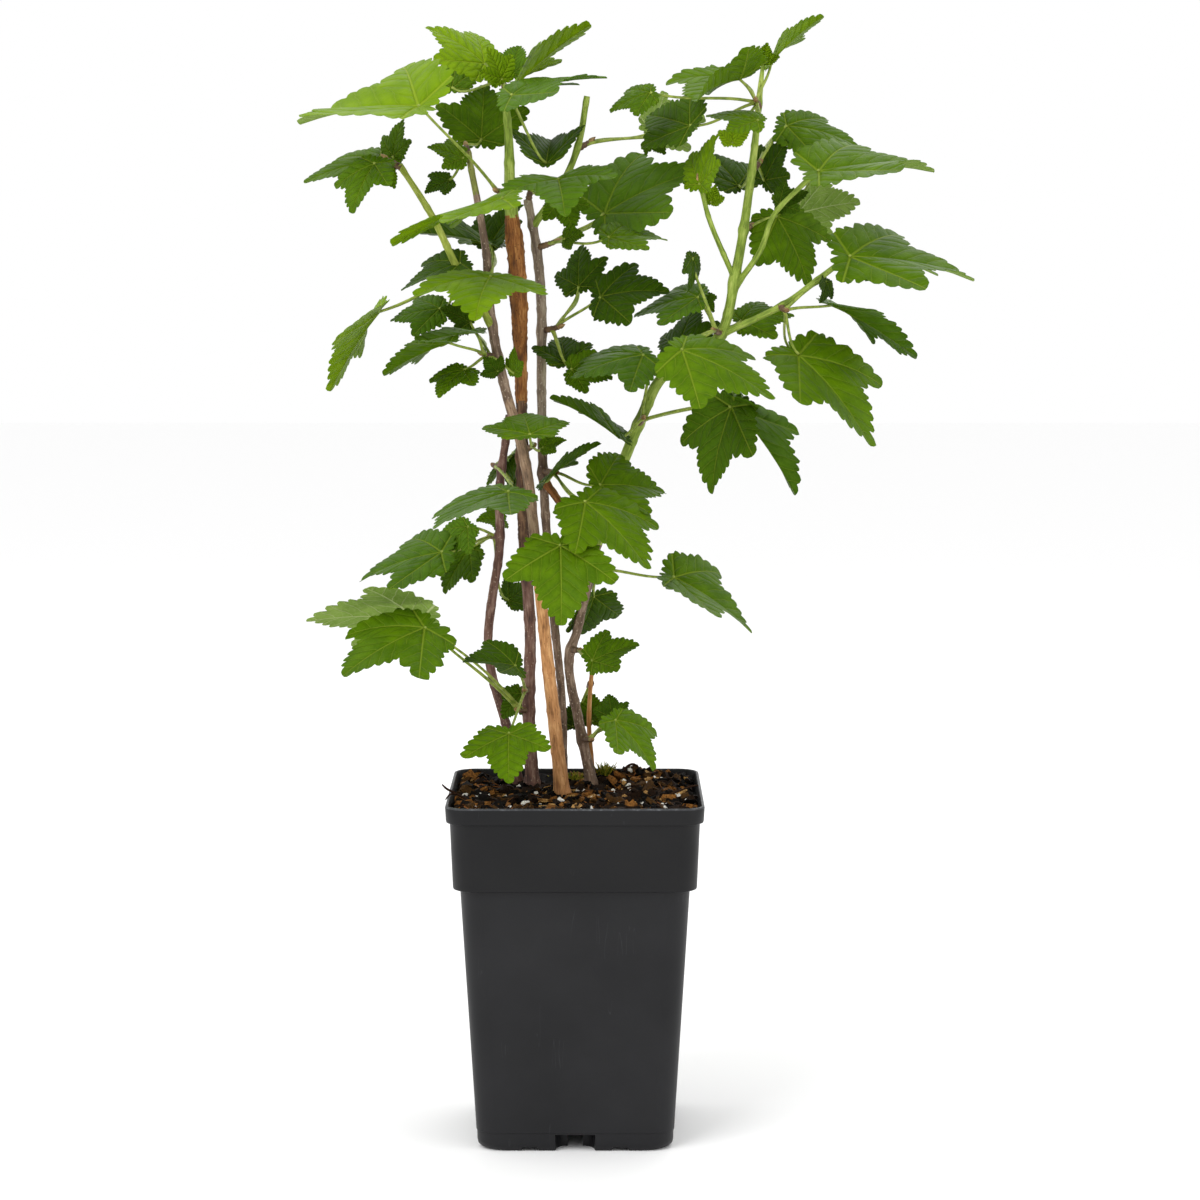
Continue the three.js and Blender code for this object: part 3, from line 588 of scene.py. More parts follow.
def buildMix():
    sizes = mixSizes
    steps = sizes["steps"]
    count = 4 * (steps + 1)
    edge = np.array(squareRing(0, sizes["inside"], sizes["corner"], steps))
    rings = []
    for share in np.linspace(1, 0.02, sizes["rings"]):
        rings.append([(x * share, y * share, soilHeight(x * share, y * share)) for x, y, _ in edge])
    walls = [np.array(squareRing(up, half, sizes["corner"], steps)) for up, half in sizes["walls"]]
    shell = Heap()
    shell.add(np.concatenate([*walls, *map(np.array, rings)]), ringFaces(len(walls) + len(rings), count))
    shell.piece("potting_mix_bed", [soilFinish()], "potting_mix", ["potting_mix"])

    rng = np.random.default_rng(sizes["seed"])
    chips = Heap()
    for k in range(sizes["chips"] + sizes["crumbs"]):
        x, y = spotInPot(rng)
        long = rng.uniform(*sizes["chipLong" if k < sizes["chips"] else "crumbLong"])
        flat = long * rng.uniform(*sizes["chipFlat"])
        points, faces = lumpyBit(rng, (long, long * rng.uniform(*sizes["chipWide"]), flat), 0.3, 0.25)
        points = turned(points, rng, 0.75)
        lift = soilHeight(x, y) + rng.uniform(*sizes["chipLift"]) * flat
        chips.add(points + (x, y, lift), [faces], rng.choice(5, p=sizes["chipChances"]))
    chips.piece("bark_chips", [
        chipFinish("chip_black", "040302", "0f0905"), chipFinish("chip_dark", "0c0704", "28180b"),
        chipFinish("chip_brown", "241608", "523818"), chipFinish("chip_rust", "3a230e", "94622c"),
        chipFinish("chip_tan", "7a552c", "c39a60")], "potting_mix", [], sharp=35)

    white = Heap()
    spots = list(sizes["seen"])
    spots += [(*spotInPot(rng), rng.uniform(*sizes["perliteWide"])) for _ in range(sizes["perlite"])]
    most = sizes["perliteReach"]
    for x, y, width in spots:
        x, y = (min(max(v, -most), most) for v in (x, y))
        bit = (width, width * rng.uniform(*sizes["perliteDeep"]), width * sizes["perliteHigh"])
        points, faces = lumpyBit(rng, bit, 0.34, 0.7)
        lift = soilHeight(x, y) + sizes["perliteLift"] * width
        white.add(turned(points, rng, 1.2) + (x, y, lift), [faces])
    perlite = Finish("perlite", "e9e6df", 0.9, gloss=0.3)
    pores = perlite.grain(perlite.where(), 1900, 3)
    perlite.color(perlite.ramp(pores, [(0.32, "b9b3a8"), (0.55, "e8e5de")]))
    perlite.relief(pores, 0.3)
    white.piece("perlite_bits", [perlite], "potting_mix", [], sharp=40)

    strands = Heap()
    for _ in range(sizes["fibres"]):
        x, y = spotInPot(rng, 5)
        long, turn = rng.uniform(*sizes["fibreLong"]), rng.uniform(0, 2 * math.pi)
        bend = rng.uniform(-sizes["fibreBend"], sizes["fibreBend"]) * long
        ends = [(-0.5, 0), (0, 1), (0.5, 0)]
        line = []
        for share, bow in ends:
            px = x + math.cos(turn) * share * long - math.sin(turn) * bow * bend
            py = y + math.sin(turn) * share * long + math.cos(turn) * bow * bend
            line.append((px, py, soilHeight(px, py) + rng.uniform(*sizes["fibreLift"])))
        line = [p for p in line if max(abs(p[0]), abs(p[1])) < sizes["fibreReach"]]
        if len(line) == 3:
            half = rng.uniform(*sizes["fibreHalf"])
            strands.add(*limbRings(Limb(line, [half, half, half * 0.4]), 5, 2.5)[:2], rng.choice(2))
    for path, half in twigsInMix:
        strands.add(*limbRings(Limb(path, [half, half * 0.9, half * 0.8, half * 0.5]), 7, 1.5)[:2], 0)
    strands.piece("mix_fibres", [
        chipFinish("fibre_dark", "1a100a", "3b2517"), chipFinish("fibre_rust", "5a3418", "8c5a2e")],
        "potting_mix", [])

    tufts = Heap()
    for right, back, reach, height in sizes["moss"]:
        for _ in range(sizes["mossStrands"]):
            x, y = rng.normal((right, back), reach / 2)
            lean = rng.normal(0, 0.45, 2)
            low, high = soilHeight(x, y) - 1, height * rng.uniform(0.4, 1)
            line = [(x + lean[0] * rise * high, y + lean[1] * rise ** 2 * high, low + rise * high)
                    for rise in (0, 0.5, 1)]
            tufts.add(*limbRings(Limb(line, [0.5, 0.45, 0.2]), 5, 1.2)[:2], rng.choice(2))
    tufts.piece("moss_tufts", [
        chipFinish("moss_green", "3f4a0c", "7d8a1c"), chipFinish("moss_yellow", "6b6414", "a8a032")],
        "potting_mix", [])


# The twig over the left rim and the one at the right rim
twigsInMix = [
    ([(-62, -26, 203), (-70, -28, 208), (-76, -30, 211.5), (-78.5, -30.5, 214)], 0.9),
    ([(-70, -28, 208), (-73.5, -30, 208.2), (-75.5, -31.5, 206.5), (-76.5, -32, 205)], 0.6),
    ([(56, -12, 205), (63, -14, 208), (69, -15, 210.5), (73, -15, 211)], 0.7),
    ([(28, 42, 207), (31, 43, 213), (35, 44, 214.5), (39, 44, 212)], 0.9),
]

buildMix()
print("potting mix made")


# Limbs from foot to tip: right, up, back and half thickness
stems = [
    {"name": "front_stem", "path": [
        [-8, 201, 5, 4.3], [-18, 296, -2, 3.6], [-24, 356, -8, 3.2], [-30, 404, -12, 3.1],
        [-42, 448, -14, 2.9], [-49, 483, -12, 2.7], [-53, 530, -14, 2.3], [-63, 585, -18, 1.7]]},
    {"name": "left_stem", "path": [
        [-34, 207, 46, 2.9], [-40, 239, 40, 2.8], [-52, 290, 32, 2.7], [-45, 353, 28, 2.6],
        [-45, 386, 24, 2.5], [-39, 430, 18, 2.3]]},
    {"name": "middle_stem", "path": [
        [-26, 207, 34, 4.1], [-28, 254, 32, 3.7], [-27, 302, 30, 3.4], [-31, 362, 24, 3.3],
        [-32, 444, 16, 3.4], [-33, 492, 10, 4.9], [-35, 527, 6, 5.2], [-38, 556, 4, 3.6],
        [-39, 592, 4, 2.6], [-41, 618, 4, 1.9]]},
    {"name": "back_stem", "path": [
        [-7, 209, 45, 2.2], [-8, 260, 44, 2.3], [-13, 311, 42, 2.5], [-19, 392, 36, 2.7],
        [-20, 451, 30, 2.9], [-20, 498, 26, 3.0], [-23, 530, 24, 2.7], [-28, 557, 22, 2.2]]},
    {"name": "right_stem", "path": [
        [10, 206, 30, 3.3], [3, 242, 30, 3.0], [-4, 284, 30, 2.8], [1, 302, 30, 2.7],
        [13, 356, 28, 2.8]]},
    {"name": "thin_stem", "path": [[10, 216, 52, 1.5], [8, 248, 52, 1.4], [10, 282, 50, 1.1]]},
]

boughs = [
    {"name": "right_shoot", "slot": "green_shoot", "parent": "right_stem", "path": [
        [12.6, 354, 28, 2.7], [28, 401, 24, 3.3], [41, 433, 18, 3.3], [51, 452, 14, 3.2],
        [84, 475, 8, 3.0], [95, 516, 4, 2.9], [103, 568, 0, 2.4], [108, 615, 0, 1.7], [110, 636, 0, 1.1]]},
    {"name": "left_shoot", "slot": "green_shoot", "parent": "front_stem", "path": [
        [-49, 483, -12, 2.3], [-69, 516, -20, 2.2], [-84, 547, -22, 2.0], [-103, 577, -18, 1.6]]},
    {"name": "left_branch", "slot": "green_shoot", "parent": "right_shoot", "path": [
        [94, 510, 4, 1.6], [79, 545, -6, 1.5], [74, 564, -8, 1.3]]},
    {"name": "right_branch", "slot": "green_shoot", "parent": "right_shoot", "path": [
        [94.5, 506, 5, 1.8], [109, 527, -4, 1.6], [117, 548, -8, 1.5], [141, 572, -10, 1.3]]},
    {"name": "side_shoot", "slot": "green_shoot", "parent": "right_shoot", "path": [
        [85, 477, 8, 2.0], [124, 496, -4, 1.9], [143, 510, -10, 1.8], [160, 523, -14, 1.5]]},
    {"name": "cut_twig", "slot": "green_shoot", "parent": "back_stem", "path": [
        [-25, 541, 23, 2.1], [-6, 569, 16, 2.0], [2, 589, 13, 1.9], [7, 617, 12, 1.8]]},
    {"name": "broken_stub", "parent": "back_stem", "path": [[-19, 392, 36, 2.4], [-8, 377, 25, 2.1]]},
]

# Sprays of leaves: the limb each one grows from, how high, and the tip of its spur.
# Each leaf is right, up and back of the point where stalk and blade join, then its length,
# the way it points as seen from in front (0 right, 90 up), how far it leans to the eye,
# its roll round the midrib, how steeply its halves fold up, and for some how far behind it
# a second leaf stands.
sprays = [
    {"name": "crown_tip_leaves", "region": "crown", "tones": "ygbybdy",
     "limb": "middle_stem", "up": 616, "spur": [-42, 626, 4], "leaves": [
        [-53, 636, 6, 40, 137, -3, -63, 0, 56], [-72, 622, 34, 32, 85, -40, 20, 0.2],
        [-37, 630, 44, 22, 80, -25, 10, 0.5], [-38, 620, -2, 60, 48, 3, 114, 0.12],
        [-37, 618, -62, 54, 20, 5, 94, 0.05, 112], [-17, 578, 6, 34, 84, -54, 10, 0.85],
        [-43, 627, -8, 20, 108, 20, -40, 0.2]]},
    {"name": "upper_node_leaves", "region": "crown", "tones": "yy",
     "limb": "middle_stem", "up": 560, "spur": [-46, 562, -12], "leaves": [
        [-92, 612, -58, 81, 174, -29, -81, 0.33], [-43, 558, -74, 66, 190, -1, -106, 0]]},
    {"name": "front_top_leaves", "region": "crown", "tones": "ggd",
     "limb": "front_stem", "up": 583, "spur": [-64, 588, -8], "leaves": [
        [-55, 592, 20, 41, 88, -28, -3, 0.3], [-66, 581, -22, 21, 154, 15, -56, 0.05],
        [-74, 568, -4, 16, 199, 20, -50, 0.2]]},
    {"name": "left_tip_leaves", "region": "left", "tones": "gggg",
     "limb": "left_shoot", "up": 575, "spur": [-110, 580, -16], "leaves": [
        [-107, 582, 6, 22, 85, 5, 56, 0.05, 40], [-115, 580, 8, 46, 188, 12, -82, 0],
        [-118, 578, -44, 34, 237, 34, -56, 0.1], [-116, 578, -16, 18, 310, 20, 30, 0.2]]},
    {"name": "left_shoot_leaves", "region": "left", "tones": "ybd",
     "limb": "left_shoot", "up": 510, "spur": [-73, 508, -22], "leaves": [
        [-116, 491, -38, 53, 229, -1, -116, 0.2, 70], [-80, 493, 24, 30, 184, 0, -66, 0],
        [-68, 520, -20, 37, 195, 9, -84, 0.1]]},
    {"name": "front_mid_leaves", "region": "left", "tones": "dyd",
     "limb": "front_stem", "up": 511, "spur": [-49, 512, -24], "leaves": [
        [-50, 531, 20, 46, 160, -11, -118, 0.2, 48], [-50, 512, -46, 57, 236, 76, -38, 0.1],
        [-50, 531, 30, 32, 61, -15, 63, 0.35]]},
    {"name": "front_low_leaves", "region": "left", "tones": "bggdgd",
     "limb": "front_stem", "up": 464, "spur": [-54, 466, -18], "leaves": [
        [-59, 479, -12, 38, 181, 2, -118, 0.16, 62], [-75, 473, -46, 41, 195, 2, -118, 0.15],
        [-66, 457, -26, 27, 214, 46, -70, 0.1], [-46, 456, -24, 13, 133, 37, 0, 0.2],
        [-36, 455, -24, 15, 97, 11, 66, 0.1], [-62, 485, 14, 20, 146, 36, -30, 0.2]]},
    {"name": "back_top_leaves", "region": "crown", "tones": "bg",
     "limb": "back_stem", "up": 555, "spur": [-26, 564, 18], "leaves": [
        [-10, 569, -24, 49, 289, 77, 14, 0.3], [-9, 556, -2, 22, 299, 40, 20, 0.2, 58]]},
    {"name": "cut_twig_leaves", "region": "crown", "tones": "dd",
     "limb": "cut_twig", "up": 586, "spur": [8, 590, 16], "leaves": [
        [45, 596, 38, 33, 20, 5, 150, 0.4], [45, 593, 16, 14, 308, 40, 0, 0.2]]},
    {"name": "back_upper_leaves", "region": "crown", "tones": "bgg",
     "limb": "back_stem", "up": 528, "spur": [-12, 532, 16], "leaves": [
        [17, 549, 14, 68, 35, 5, 70, 0.1, 64], [20, 535, -24, 34, 8, -10, 80, 0.1],
        [-6, 534, 0, 14, 19, 45, 40, 0.2]]},
    {"name": "back_mid_leaves", "region": "middle", "tones": "dddg",
     "limb": "back_stem", "up": 478, "spur": [-10, 482, 20], "leaves": [
        [2, 506, 30, 29, 94, -25, 38, 0, 40], [15, 500, 12, 41, 14, 20, 58, 0.15],
        [-6, 461, 14, 28, 98, -47, -8, 0.2], [-2, 457, 4, 24, 355, 12, 35, 0.2]]},
    {"name": "right_low_leaves", "region": "middle", "tones": "dbdb",
     "limb": "right_shoot", "up": 424, "spur": [40, 428, 8], "leaves": [
        [26, 417, -6, 47, 141, 3, -118, 0.28], [40, 466, -18, 47, 186, 27, -85, -0.08, 66],
        [92, 435, -34, 51, 249, 11, -60, 0.1, 70], [94, 436, -22, 62, 316, -2, 118, 0.32]]},
    {"name": "right_mid_leaves", "region": "right", "tones": "gdbdgd",
     "limb": "right_shoot", "up": 478, "spur": [82, 480, -4], "leaves": [
        [63, 469, -66, 59, 343, 20, 73, -0.15], [61, 469, 16, 33, 76, -30, 54, 0, 46],
        [72, 500, 4, 39, 185, -10, -80, 0], [69, 523, -10, 21, 272, 10, 82, 0.1],
        [98, 486, 20, 31, 17, 0, 68, 0, 40], [74, 500, 10, 12, 315, 20, 30, 0.2]]},
    {"name": "side_shoot_leaves", "region": "right", "tones": "g",
     "limb": "side_shoot", "up": 521, "spur": [163, 526, -18], "leaves": [
        [162, 524, -42, 72, 1, -4, 78, 0.12, 94]]},
    {"name": "side_shoot_low_leaves", "region": "right", "tones": "bdg",
     "limb": "side_shoot", "up": 494, "spur": [124, 492, -10], "leaves": [
        [152, 495, 4, 58, 336, 8, 118, 0.1], [148, 509, -10, 14, 260, 24, 65, 0.2],
        [132, 466, 0, 70, 320, 26, 72, 0.18, 60]]},
    {"name": "right_branch_leaves", "region": "right", "tones": "gbd",
     "limb": "right_branch", "up": 570, "spur": [143, 575, -14], "leaves": [
        [143, 574, -46, 67, 11, -10, 87, 0.25], [131, 549, 66, 38, 16, -10, 138, 0],
        [120, 554, -2, 18, 30, 10, 40, 0.2]]},
    {"name": "right_node_leaves", "region": "right_top", "tones": "gdd",
     "limb": "right_shoot", "up": 572, "spur": [108, 578, 6], "leaves": [
        [124, 600, 24, 43, 355, 11, 70, 0, 50], [111, 568, 22, 28, 70, 26, 58, 0],
        [96, 565, 44, 36, 123, -35, -50, 0.2]]},
    {"name": "right_upper_leaves", "region": "right_top", "tones": "g",
     "limb": "right_shoot", "up": 538, "spur": [103, 541, 8], "leaves": [
        [119, 547, 19, 44, 300, 19, 38, 0, 60]]},
    {"name": "left_branch_leaves", "region": "right_top", "tones": "yy",
     "limb": "left_branch", "up": 563, "spur": [73, 567, -9], "leaves": [
        [73, 566, -12, 31, 78, 5, 72, 0.2], [80, 555, -4, 11, 77, 32, 0, 0.2]]},
    {"name": "right_top_leaves", "region": "right_top", "tones": "yggdgyy",
     "limb": "right_shoot", "up": 610, "spur": [106, 614, -8], "leaves": [
        [115, 637, 8, 39, 54, 4, 118, 0.15], [96, 627, -30, 50, 193, 52, -113, 0.6, 78],
        [44, 619, -22, 25, 194, 3, -66, 0], [67, 600, -14, 40, 157, -45, -25, 0.2],
        [107, 603, -46, 29, 165, -2, -80, 0], [110, 637, 0, 13, 80, 48, 0, 0.2],
        [92, 590, -34, 15, 85, 20, -20, 0.3]]},
    {"name": "middle_leaves", "region": "middle", "tones": "gg",
     "limb": "middle_stem", "up": 408, "spur": [-25, 412, 2], "leaves": [
        [-27, 419, -64, 39, 108, -66, -20, 0.05], [-19, 411, -26, 14, 27, 10, 62, 0.2]]},
    {"name": "back_low_leaves", "region": "middle", "tones": "dgg",
     "limb": "back_stem", "up": 396, "spur": [-12, 396, 22], "leaves": [
        [-18, 391, 6, 39, 47, -2, 117, 0.1], [15, 389, -6, 43, 2, -22, 62, 0.25, 62],
        [6, 379, -34, 57, 326, 32, 72, 0, 94]]},
    {"name": "left_upper_leaves", "region": "left", "tones": "gbd",
     "limb": "left_stem", "up": 398, "spur": [-48, 400, 32], "leaves": [
        [-37, 408, 58, 25, 222, 0, -118, 0.05], [-40, 385, -40, 58, 193, 40, -100, 0],
        [-37, 390, 56, 20, 92, 20, 72, 0.1]]},
    {"name": "left_mid_leaves", "region": "low", "tones": "bgdgb",
     "limb": "left_stem", "up": 358, "spur": [-50, 358, 36], "leaves": [
        [-80, 349, 10, 52, 187, -11, -78, 0], [-63, 351, 52, 31, 233, 10, -50, 0.2, 34],
        [-40, 320, 66, 20, 34, -35, 10, 0.2], [-43, 368, 52, 17, 168, 30, -62, 0.2],
        [-64, 364, 20, 23, 225, 10, -50, 0.1]]},
    {"name": "left_low_leaves", "region": "low", "tones": "yg",
     "limb": "middle_stem", "up": 252, "spur": [-34, 254, 22], "leaves": [
        [-93, 308, -16, 65, 168, 2, -122, 0.1, 62], [-90, 304, -50, 59, 199, 33, -74, 0]]},
    {"name": "foot_leaves", "region": "low", "tones": "dgd",
     "limb": "middle_stem", "up": 266, "spur": [-30, 266, 20], "leaves": [
        [-36, 281, -24, 32, 163, 22, -82, 0.3], [-40, 240, -36, 39, 271, 58, -6, 0.25],
        [-32, 264, 34, 19, 228, 10, -20, 0.2]]},
    {"name": "heart_leaves", "region": "middle", "tones": "g",
     "limb": "front_stem", "up": 338, "spur": [-20, 340, -18], "leaves": [
        [-9, 353, -62, 51, 273, 43, 10, 0.15]]},
    {"name": "right_heart_leaves", "region": "middle", "tones": "dg",
     "limb": "right_stem", "up": 338, "spur": [14, 338, 16], "leaves": [
        [11, 322, 38, 35, 258, -26, 54, 0.35, 40], [59, 334, 0, 56, 336, -3, 87, 0.25]]},
    {"name": "right_knee_leaves", "region": "low", "tones": "g",
     "limb": "right_stem", "up": 290, "spur": [2, 290, 18], "leaves": [
        [10, 284, -14, 29, 28, 8, 62, 0.2, 58]]},
    {"name": "right_foot_leaves", "region": "low", "tones": "gd",
     "limb": "right_stem", "up": 236, "spur": [9, 236, 18], "leaves": [
        [24, 248, -10, 37, 320, 19, 76, 0.1, 60], [22, 249, 4, 17, 100, -30, 0, 0.2]]},
    {"name": "thin_stem_leaves", "region": "low", "tones": "gd",
     "limb": "thin_stem", "up": 270, "spur": [8, 268, 60], "leaves": [
        [10, 247, 70, 22, 94, 35, 0, 0.2], [-2, 244, 66, 17, 90, 35, 0, 0.2]]},
]

# Limbs

limbLooks = {
    "sides": 22, "step": 1.6, "flare": 0.35, "flareHeight": 7, "soilDepth": 9,
    "swellWidth": 3.4, "swell": 0.2, "nodeEvery": 25, "seed": 4,
    # how rough each kind is: lumps, lengthwise ridges, and rings at the old leaf places
    "kinds": {"cane": (0.04, 0.03, 0.1), "wood": (0.09, 0.07, 0.12), "flaky": (0.15, 0.1, 0.08),
              "green": (0.03, 0.035, 0.12)},
}

# Bark of each limb from its foot: kind, finish, and the height that it reaches up to
limbBark = {
    "front_stem": [("cane", "tan", 335), ("cane", "greyTan", 440), ("wood", "grey", 560),
                   ("green", "brownGreen", 999)],
    "left_stem": [("wood", "reddish", 999)],
    "middle_stem": [("wood", "reddish", 330), ("flaky", "dark", 438), ("flaky", "orange", 548),
                    ("green", "green", 999)],
    "back_stem": [("wood", "grey", 430), ("wood", "litGrey", 999)],
    "right_stem": [("wood", "grey", 999)],
    "thin_stem": [("cane", "tanOrange", 999)],
    "right_shoot": [("green", "green", 999)],
    "left_shoot": [("green", "yellowGreen", 999)],
    "left_branch": [("green", "green", 999)],
    "right_branch": [("green", "green", 999)],
    "side_shoot": [("green", "green", 999)],
    "cut_twig": [("green", "green", 999)],
    "broken_stub": [("flaky", "orange", 999)],
}

# Colours of each bark, dark to light, the flecks on it, and how much of it they take
barkColors = {
    "tan": ("7a512e", "b98250", "dba873", "54341f", 0.08),
    "greyTan": ("4f4034", "8a6f57", "b49a80", "3c2c20", 0.1),
    "tanOrange": ("8a5a30", "b67c44", "d6a870", "5a3c22", 0.10),
    "grey": ("43352c", "725c4b", "a48d7a", "b8a58f", 0.13),
    "litGrey": ("55483e", "8d7c6b", "b8a894", "cbbfae", 0.12),
    "reddish": ("3d2a25", "6b4b40", "94786a", "a8917f", 0.12),
    "orange": ("472a13", "8a5424", "b98246", "2e1c10", 0.12),
    "dark": ("2a1d15", "543a29", "86664a", "9a7852", 0.12),
    "green": ("566a1e", "849a38", "adbb5e", "6b5a2e", 0.10),
    "yellowGreen": ("6d7a24", "94a03c", "bcc468", "7a6a34", 0.08),
    "brownGreen": ("4e4a26", "75763a", "9da254", "5a4630", 0.12),
}


def barkFinish(name):
    dark, middle, light, fleck, share = barkColors[name]
    bark = Finish("bark_" + name, middle, 0.7, gloss=0.32)
    around = bark.mark("barkPlace")
    streak = bark.grain(bark.stretch(around, (1.1, 1.1, 0.16)), 1.0, 5, 0.62)
    patch = bark.grain(bark.stretch(around, (0.22, 0.22, 0.06)), 1.0, 3)
    both = bark.calc("MULTIPLY_ADD", patch, 0.55, bark.calc("MULTIPLY", streak, 0.45))
    tone = bark.ramp(both, [(0.36, dark), (0.5, middle), (0.64, light)])
    spots = bark.cells(bark.stretch(around, (0.55, 0.55, 0.42)), 1.0, "F1")
    flecks = bark.fade(spots, share, share * 2)
    bark.color(bark.blend(bark.calc("MULTIPLY", flecks, 0.75), tone, fleck))
    height = bark.calc("ADD", streak, bark.calc("MULTIPLY", flecks, 0.4))
    bark.relief(height, 0.35, 0.8)
    return bark


finishes = {name: barkFinish(name) for name in barkColors}
barkNames = list(barkColors)


def limbLine(path):
    return Limb([place(*row[:3]) for row in path], [row[3] for row in path])


def runAtHeight(limb, up):
    spot = limb.atHeight(up)
    return limb.arcs[np.argmin(np.linalg.norm(limb.dense - spot, axis=1))]


# Relief of one kind of bark: lumps, ridges along the limb, and swellings at its nodes
def reliefOf(kind, seed, nodes):
    lump, ridge, ring = limbLooks["kinds"][kind]

    def reach(turn, run):
        c, s = math.cos(turn), math.sin(turn)
        made = 1 + lump * noise.noise(Vector((c * 1.3 + seed, s * 1.3, run * 0.11)))
        made += lump * 0.6 * noise.noise(Vector((c * 2.5, s * 2.5 + seed, run * 0.4)))
        made += ridge * noise.noise(Vector((c * 4.5, s * 4.5, run * 0.05 + seed)))
        if kind == "flaky":
            flake = noise.noise(Vector((c * 2 - seed, s * 2, run * 0.17)))
            made += 0.09 if flake > 0.16 else -0.03
        near = (run + seed * 7) % limbLooks["nodeEvery"] - limbLooks["nodeEvery"] / 2
        made += ring * math.exp(-(near / 1.6) ** 2)
        for node in nodes:
            made += limbLooks["swell"] * math.exp(-((run - node) / limbLooks["swellWidth"]) ** 2)
        return made

    return reach


def buildLimb(row, index, limbs):
    line = limbLine(row["path"])
    name = row["name"]
    foot = "parent" not in row
    if foot:
        first = line.dense[0].copy()
        first[2] = mixSizes["level"] - limbLooks["soilDepth"]
        line = Limb([first, *line.controls], [line.halves[0], *line.halves])
    limbs[name] = line
    nodes = [runAtHeight(line, spray["up"]) for spray in sprays if spray["limb"] == name]
    nodes += [runAtHeight(line, bough["path"][0][1]) for bough in boughs if bough["parent"] == name]
    kinds = limbBark[name]
    reliefs = {kind: reliefOf(kind, index * 1.7, nodes) for kind, _, _ in kinds}
    levels = [up for _, _, up in kinds]

    def part(run):
        up = line.at(run)[2] + 3 * noise.noise(Vector((run * 0.3, index, 0)))
        return next(k for k, level in enumerate(levels) if up <= level)

    def relief(turn, run):
        return reliefs[kinds[part(run)][0]](turn, run)

    def swell(run):
        if foot:
            above = max(0, run - limbLooks["soilDepth"])
            return 1 + limbLooks["flare"] * math.exp(-above / limbLooks["flareHeight"])
        return 1 + 0.35 * math.exp(-(run / 4) ** 2)

    points, (quads, fans), marks = limbRings(line, limbLooks["sides"], limbLooks["step"], relief, swell)
    heap = Heap()
    used = sorted({barkNames.index(bark) for _, bark, _ in kinds})
    runs = marks[quads].mean(axis=1)
    for k, (_, bark, _) in enumerate(kinds):
        ragged = np.array([part(run + 1.5 * noise.noise(Vector((a * 2, b * 2, run * 0.5))))
                           for a, b, run in runs])
        chosen = quads[ragged == k]
        if len(chosen):
            heap.add([], [chosen], used.index(barkNames.index(bark)))
    heap.add(points, [], 0, marks)
    heap.add([], [fans - heap.count], used.index(barkNames.index(kinds[-1][1])))
    heap.piece("bark_of_" + name, [finishes[barkNames[k]] for k in used], row.get("slot", "bark"), [name],
               mark="barkPlace")


# Leaves

leafSizes = {
    "rings": (0.06, 0.2, 0.36, 0.52, 0.68, 0.84, 1), "half": 0.14, "notch": 0.09,
    "droop": 0.2, "twist": 0.25, "mostRoll": 120, "soft": 0.03, "ribs": (0, 0.89, 1.85),
    "groove": 0.016, "arch": 0.03, "tooth": 0.056, "wave": 0.028, "ruffle": 0.016,
    # half the outline from the notch to the tip, along and aside of the midrib, as shares of the length
    "edge": [
        {"via": (-0.22, 0.12), "to": (-0.08, 0.36), "teeth": 3, "points": 1},
        {"via": (-0.02, 0.44), "to": (0.08, 0.44), "teeth": 2, "points": -1},
        {"via": (0.25, 0.62), "to": (0.5, 0.64), "teeth": 4, "points": 1},
        {"via": (0.57, 0.47), "to": (0.53, 0.31), "teeth": 2, "points": -1},
        {"via": (0.76, 0.31), "to": (1, 0), "teeth": 6, "points": 1},
    ],
    # shares of a tooth's length, and how far the edge stands out there
    "toothRun": (0, 0.3, 0.6, 0.85), "toothOut": (0, 0.7, 1, 0.75), "toothSink": 0.4,
    # how much teeth, lobes and the bays between them differ
    "toothSize": (0.8, 1.2), "toothGap": (0.75, 1.25), "toothGrowth": (0.55, 1.35),
    "lobeSpread": (0.94, 1.06), "baySpread": (0.9, 1.06),
    "foldSpread": 0.03, "droopSpread": (0.85, 1.15),
}

# Upper-face tones, each a light and a dark green: d is painted shade, a darker green for leaves that lie in
# shade and for each second leaf behind another; b is a bluer green that stands for the sheen on lit leaves,
# a painted sheen; g is the middle green and y the yellow-green of young leaves
leafTones = {
    "d": ("405e05", "2e4903"), "g": ("577704", "416003"),
    "b": ("50720f", "3c5c0a"), "y": ("769508", "5c7d06"),
}


